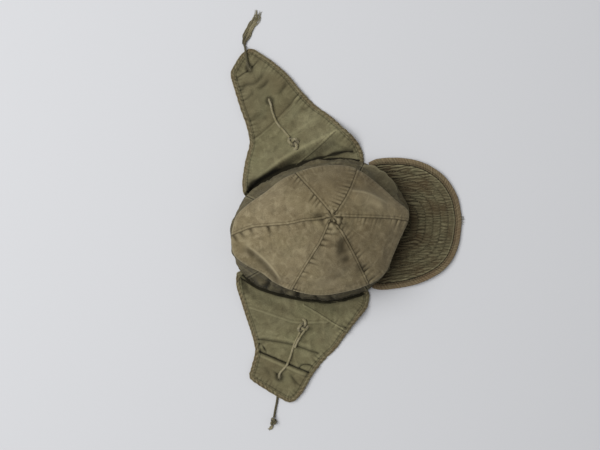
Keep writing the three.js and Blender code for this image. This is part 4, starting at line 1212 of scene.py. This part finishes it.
def patchPlace(outline, rootLine, flap, inset):
    count = [len(flap["back"]) + 1, len(flap["tip"])]
    posts = flapPosts(flap)
    _, along = near(posts[:, 0], posts[:, 1], outline)
    total = lengthOf(outline)
    backEnd = along[count[0]] / total
    frontStart = along[count[0] + count[1] - 1] / total
    inner = inside(outline, inset)

    def place(u, v):
        left, right = pointAt(inner, v * backEnd), pointAt(inner, 1 - v * (1 - frontStart))
        far = pointAt(inner, mix(backEnd, frontStart, u))
        root = pointAt(rootLine, u)
        corners = [pointAt(inner, np.full_like(u, share)) for share in (0, 1, backEnd, frontStart)]
        u, v = u[:, None], v[:, None]
        root += (1 - u) ** 5 * (corners[0] - rootLine[0]) + u**5 * (corners[1] - rootLine[-1])
        sides = (1 - u) * left + u * right + (1 - v) * root + v * far
        corner = (1 - u) * (1 - v) * corners[0] + u * (1 - v) * corners[1]
        corner = corner + (1 - u) * v * corners[2] + u * v * corners[3]
        return sides - corner

    return place


def earFlap(name):
    flap = flaps[name]
    side = flap["side"]
    outline, field = flapFields(name)
    inward = -1  # the outline runs clockwise, with y outwards
    degrees = np.linspace(flap["span"][0], flap["span"][1], 60)
    rootX, rootY = atHeading(baseReachHead(degrees) - flapCloths["underBand"], degrees)
    rootLine = np.column_stack([rootX, side * rootY])
    place = patchPlace(outline, rootLine, flap, inward * (flapCloths["hem"] - 1.2))

    def turned(x, y, z):
        return np.column_stack([x, side * y, z])

    def mainSurface(u, v):
        x, y = place(u, v).T
        z, wear, shade, brown = field(x, y)
        hole = np.zeros(len(x), bool)
        for eyeX, eyeY, heading in flap["eyelets"]:
            tilt = math.radians(heading)
            long = (x - eyeX) * math.cos(tilt) + (y - eyeY) * math.sin(tilt)
            wide = (y - eyeY) * math.cos(tilt) - (x - eyeX) * math.sin(tilt)
            hole |= np.hypot(long / flapCloths["eyelet"][0], wide / flapCloths["eyelet"][1]) < 0.5
        return {"place": turned(x, y, z), "wear": wear, "shade": shade, "brown": brown, "hole": hole}

    rounds, thick = np.linspace(0, 1, 150), flapCloths["thickness"]
    cloth = clothGrid(f"flapCloth_{name}", crowded(150, 0.2), rounds, mainSurface, thick)
    parts = ("root", "root_gusset", "root_lining", "outer", "gusset", "padding", "lining")
    dress(cloth, flapCloth, [f"flap_{name}_{part}" for part in parts])

    def hemSurface(u, v):
        tall = (flapCloths["thickness"] + flapCloths["hemRise"]) / 2
        line, inwards, flatten, offset, lift = foldedTape(outline, u, v, flapCloths["hem"])
        along = v * lengthOf(outline)
        puckers = beat(along + 0.9 * offset, 5.0, 111 + side)
        edge = 0.2 * beat(along, 9, 113 + side) * bell(offset, 2)
        x = line[:, 0] + inwards[:, 0] * (offset + edge)
        y = line[:, 1] + inwards[:, 1] * (offset + edge)
        rows = bell(offset - flapCloths["hemRows"][0], 0.5) + bell(offset - flapCloths["hemRows"][1], 0.5)
        grow = 1 + 0.14 * puckers * (1 - np.abs(flatten) ** 6)
        z = np.maximum(field(x, y)[0] + lift * (tall * grow - 0.3 * rows), 0.15)
        dotted = np.clip(beat(along, 4.0, 115 + side, waves=2), 0, 1)
        wear = 0.2 * bell(offset, 1.3) + 0.3 * np.clip(puckers, 0, 1) * bell(offset - 3, 2)
        shade = 0.35 * rows + 0.4 * dotted * rows + 0.25 * np.clip(-puckers, 0, 1)
        shade += 0.5 * bell(offset - flapCloths["hem"], 0.8)
        brown = 0.5 * bell(offset, 1.3) + 0.25 * beat(along, 40, 117 + side)
        flat = np.column_stack([along, offset])
        return {"place": turned(x, y, z), "wear": wear, "shade": shade, "brown": brown, "flat": flat}

    ring = np.linspace(0, 1, 25)
    hem = clothGrid(f"flapHemTape_{name}", ring, np.linspace(0, 1, 420), hemSurface, 0, around=True)
    dress(hem, hemCloth, [f"flap_{name}_hem"])

    half = flapCloths["thickness"] / 2
    rows = [inside(outline, inward * inset)[2:-2] for inset in flapCloths["hemRows"]]
    thread = [raised(row, lambda x, y: field(x, y)[0], half + 0.2) for row in rows]
    seam = curve(flap["seam"], 40)
    thread += [raised(inside(seam, offset), lambda x, y: field(x, y)[0], half + 0.1) for offset in (0.9, 3.6)]
    thread = [row * [1, side, 1] for row in thread]
    dress(stitches(f"flapStitching_{name}", thread), threadCotton, [])

    for i, (x, y, heading) in enumerate(flap["eyelets"]):
        rim = eyeletRim(f"flapEyelet_{name}_{i + 1}", x, y, heading, side, field)
        dress(rim, threadCotton, [f"flap_{name}_eyelet_{i + 1}"], f"flap_{name}")


def eyeletPoints(x, y, heading, grow, count):
    long, wide = flapCloths["eyelet"]
    turn = np.linspace(0, 2 * math.pi, count)
    a, b = (long / 2 + grow) * np.cos(turn), (wide / 2 + grow) * np.sin(turn)
    tilt = math.radians(heading)
    return x + a * math.cos(tilt) - b * math.sin(tilt), y + a * math.sin(tilt) + b * math.cos(tilt)


def eyeletRim(name, x, y, heading, side, field):
    middle = float(field(np.array([float(x)]), np.array([float(y)]))[0][0])
    tall = flapCloths["thickness"] / 2 + 0.15

    def surface(u, v):
        wrap = 2 * math.pi * u
        atX, atY = eyeletPoints(x, y, heading, 0.45, 97)
        place = pointAt(np.column_stack([atX, atY]), v)
        turn = 2 * math.pi * v
        long, wide = flapCloths["eyelet"]
        a, b = long / 2 * np.cos(turn), wide / 2 * np.sin(turn)
        normal = np.column_stack([a / (long / 2) ** 2, b / (wide / 2) ** 2])
        normal /= np.linalg.norm(normal, axis=1)[:, None]
        tilt = math.radians(heading)
        outX = normal[:, 0] * math.cos(tilt) - normal[:, 1] * math.sin(tilt)
        outY = normal[:, 0] * math.sin(tilt) + normal[:, 1] * math.cos(tilt)
        out = np.column_stack([outX, outY])
        thread = 0.12 * np.abs(np.sin(34 * turn / 2 + 2 * wrap))
        reach = (0.6 + thread) * np.cos(wrap)
        z = middle + (tall + thread) * np.sin(wrap)
        place = place + out * reach[:, None]
        return {"place": np.column_stack([place[:, 0], side * place[:, 1], z]), "shade": 1 - 5 * thread}

    return clothGrid(name, np.linspace(0, 1, 13), np.linspace(0, 1, 137), surface, 0, around=True)


for name in flaps:
    earFlap(name)
    print(f"{name} ear flap ready")

# Table, light and world

stage = {"floor": "cecfd2", "lamp": 88.0, "lampSize": 2.2, "lampAt": (-1350, 450, 2550), "world": 0.27}
deselect()
bpy.ops.mesh.primitive_plane_add(size=30, location=(0, 0, 0))
floor = bpy.context.object
floor.name = "table"
table, tree, shader = newMaterial("paleTable", 0.85, 0)
shader.inputs["Base Color"].default_value = linear(stage["floor"])
floor.data.materials.append(table)
bpy.ops.object.light_add(type="AREA", location=toRow(stage["lampAt"]))
lamp = bpy.context.object
lamp.data.energy = stage["lamp"]
lamp.data.size = stage["lampSize"]
lamp.rotation_euler = (-Vector(lamp.location)).to_track_quat("-Z", "Y").to_euler()
world = bpy.data.worlds.new("softRoom")
world.use_nodes = True
world.node_tree.nodes["Background"].inputs["Color"].default_value = (1, 1, 1, 1)
world.node_tree.nodes["Background"].inputs["Strength"].default_value = stage["world"]
bpy.context.scene.world = world
bpy.context.scene.view_settings.view_transform = "Standard"
print("stage ready")
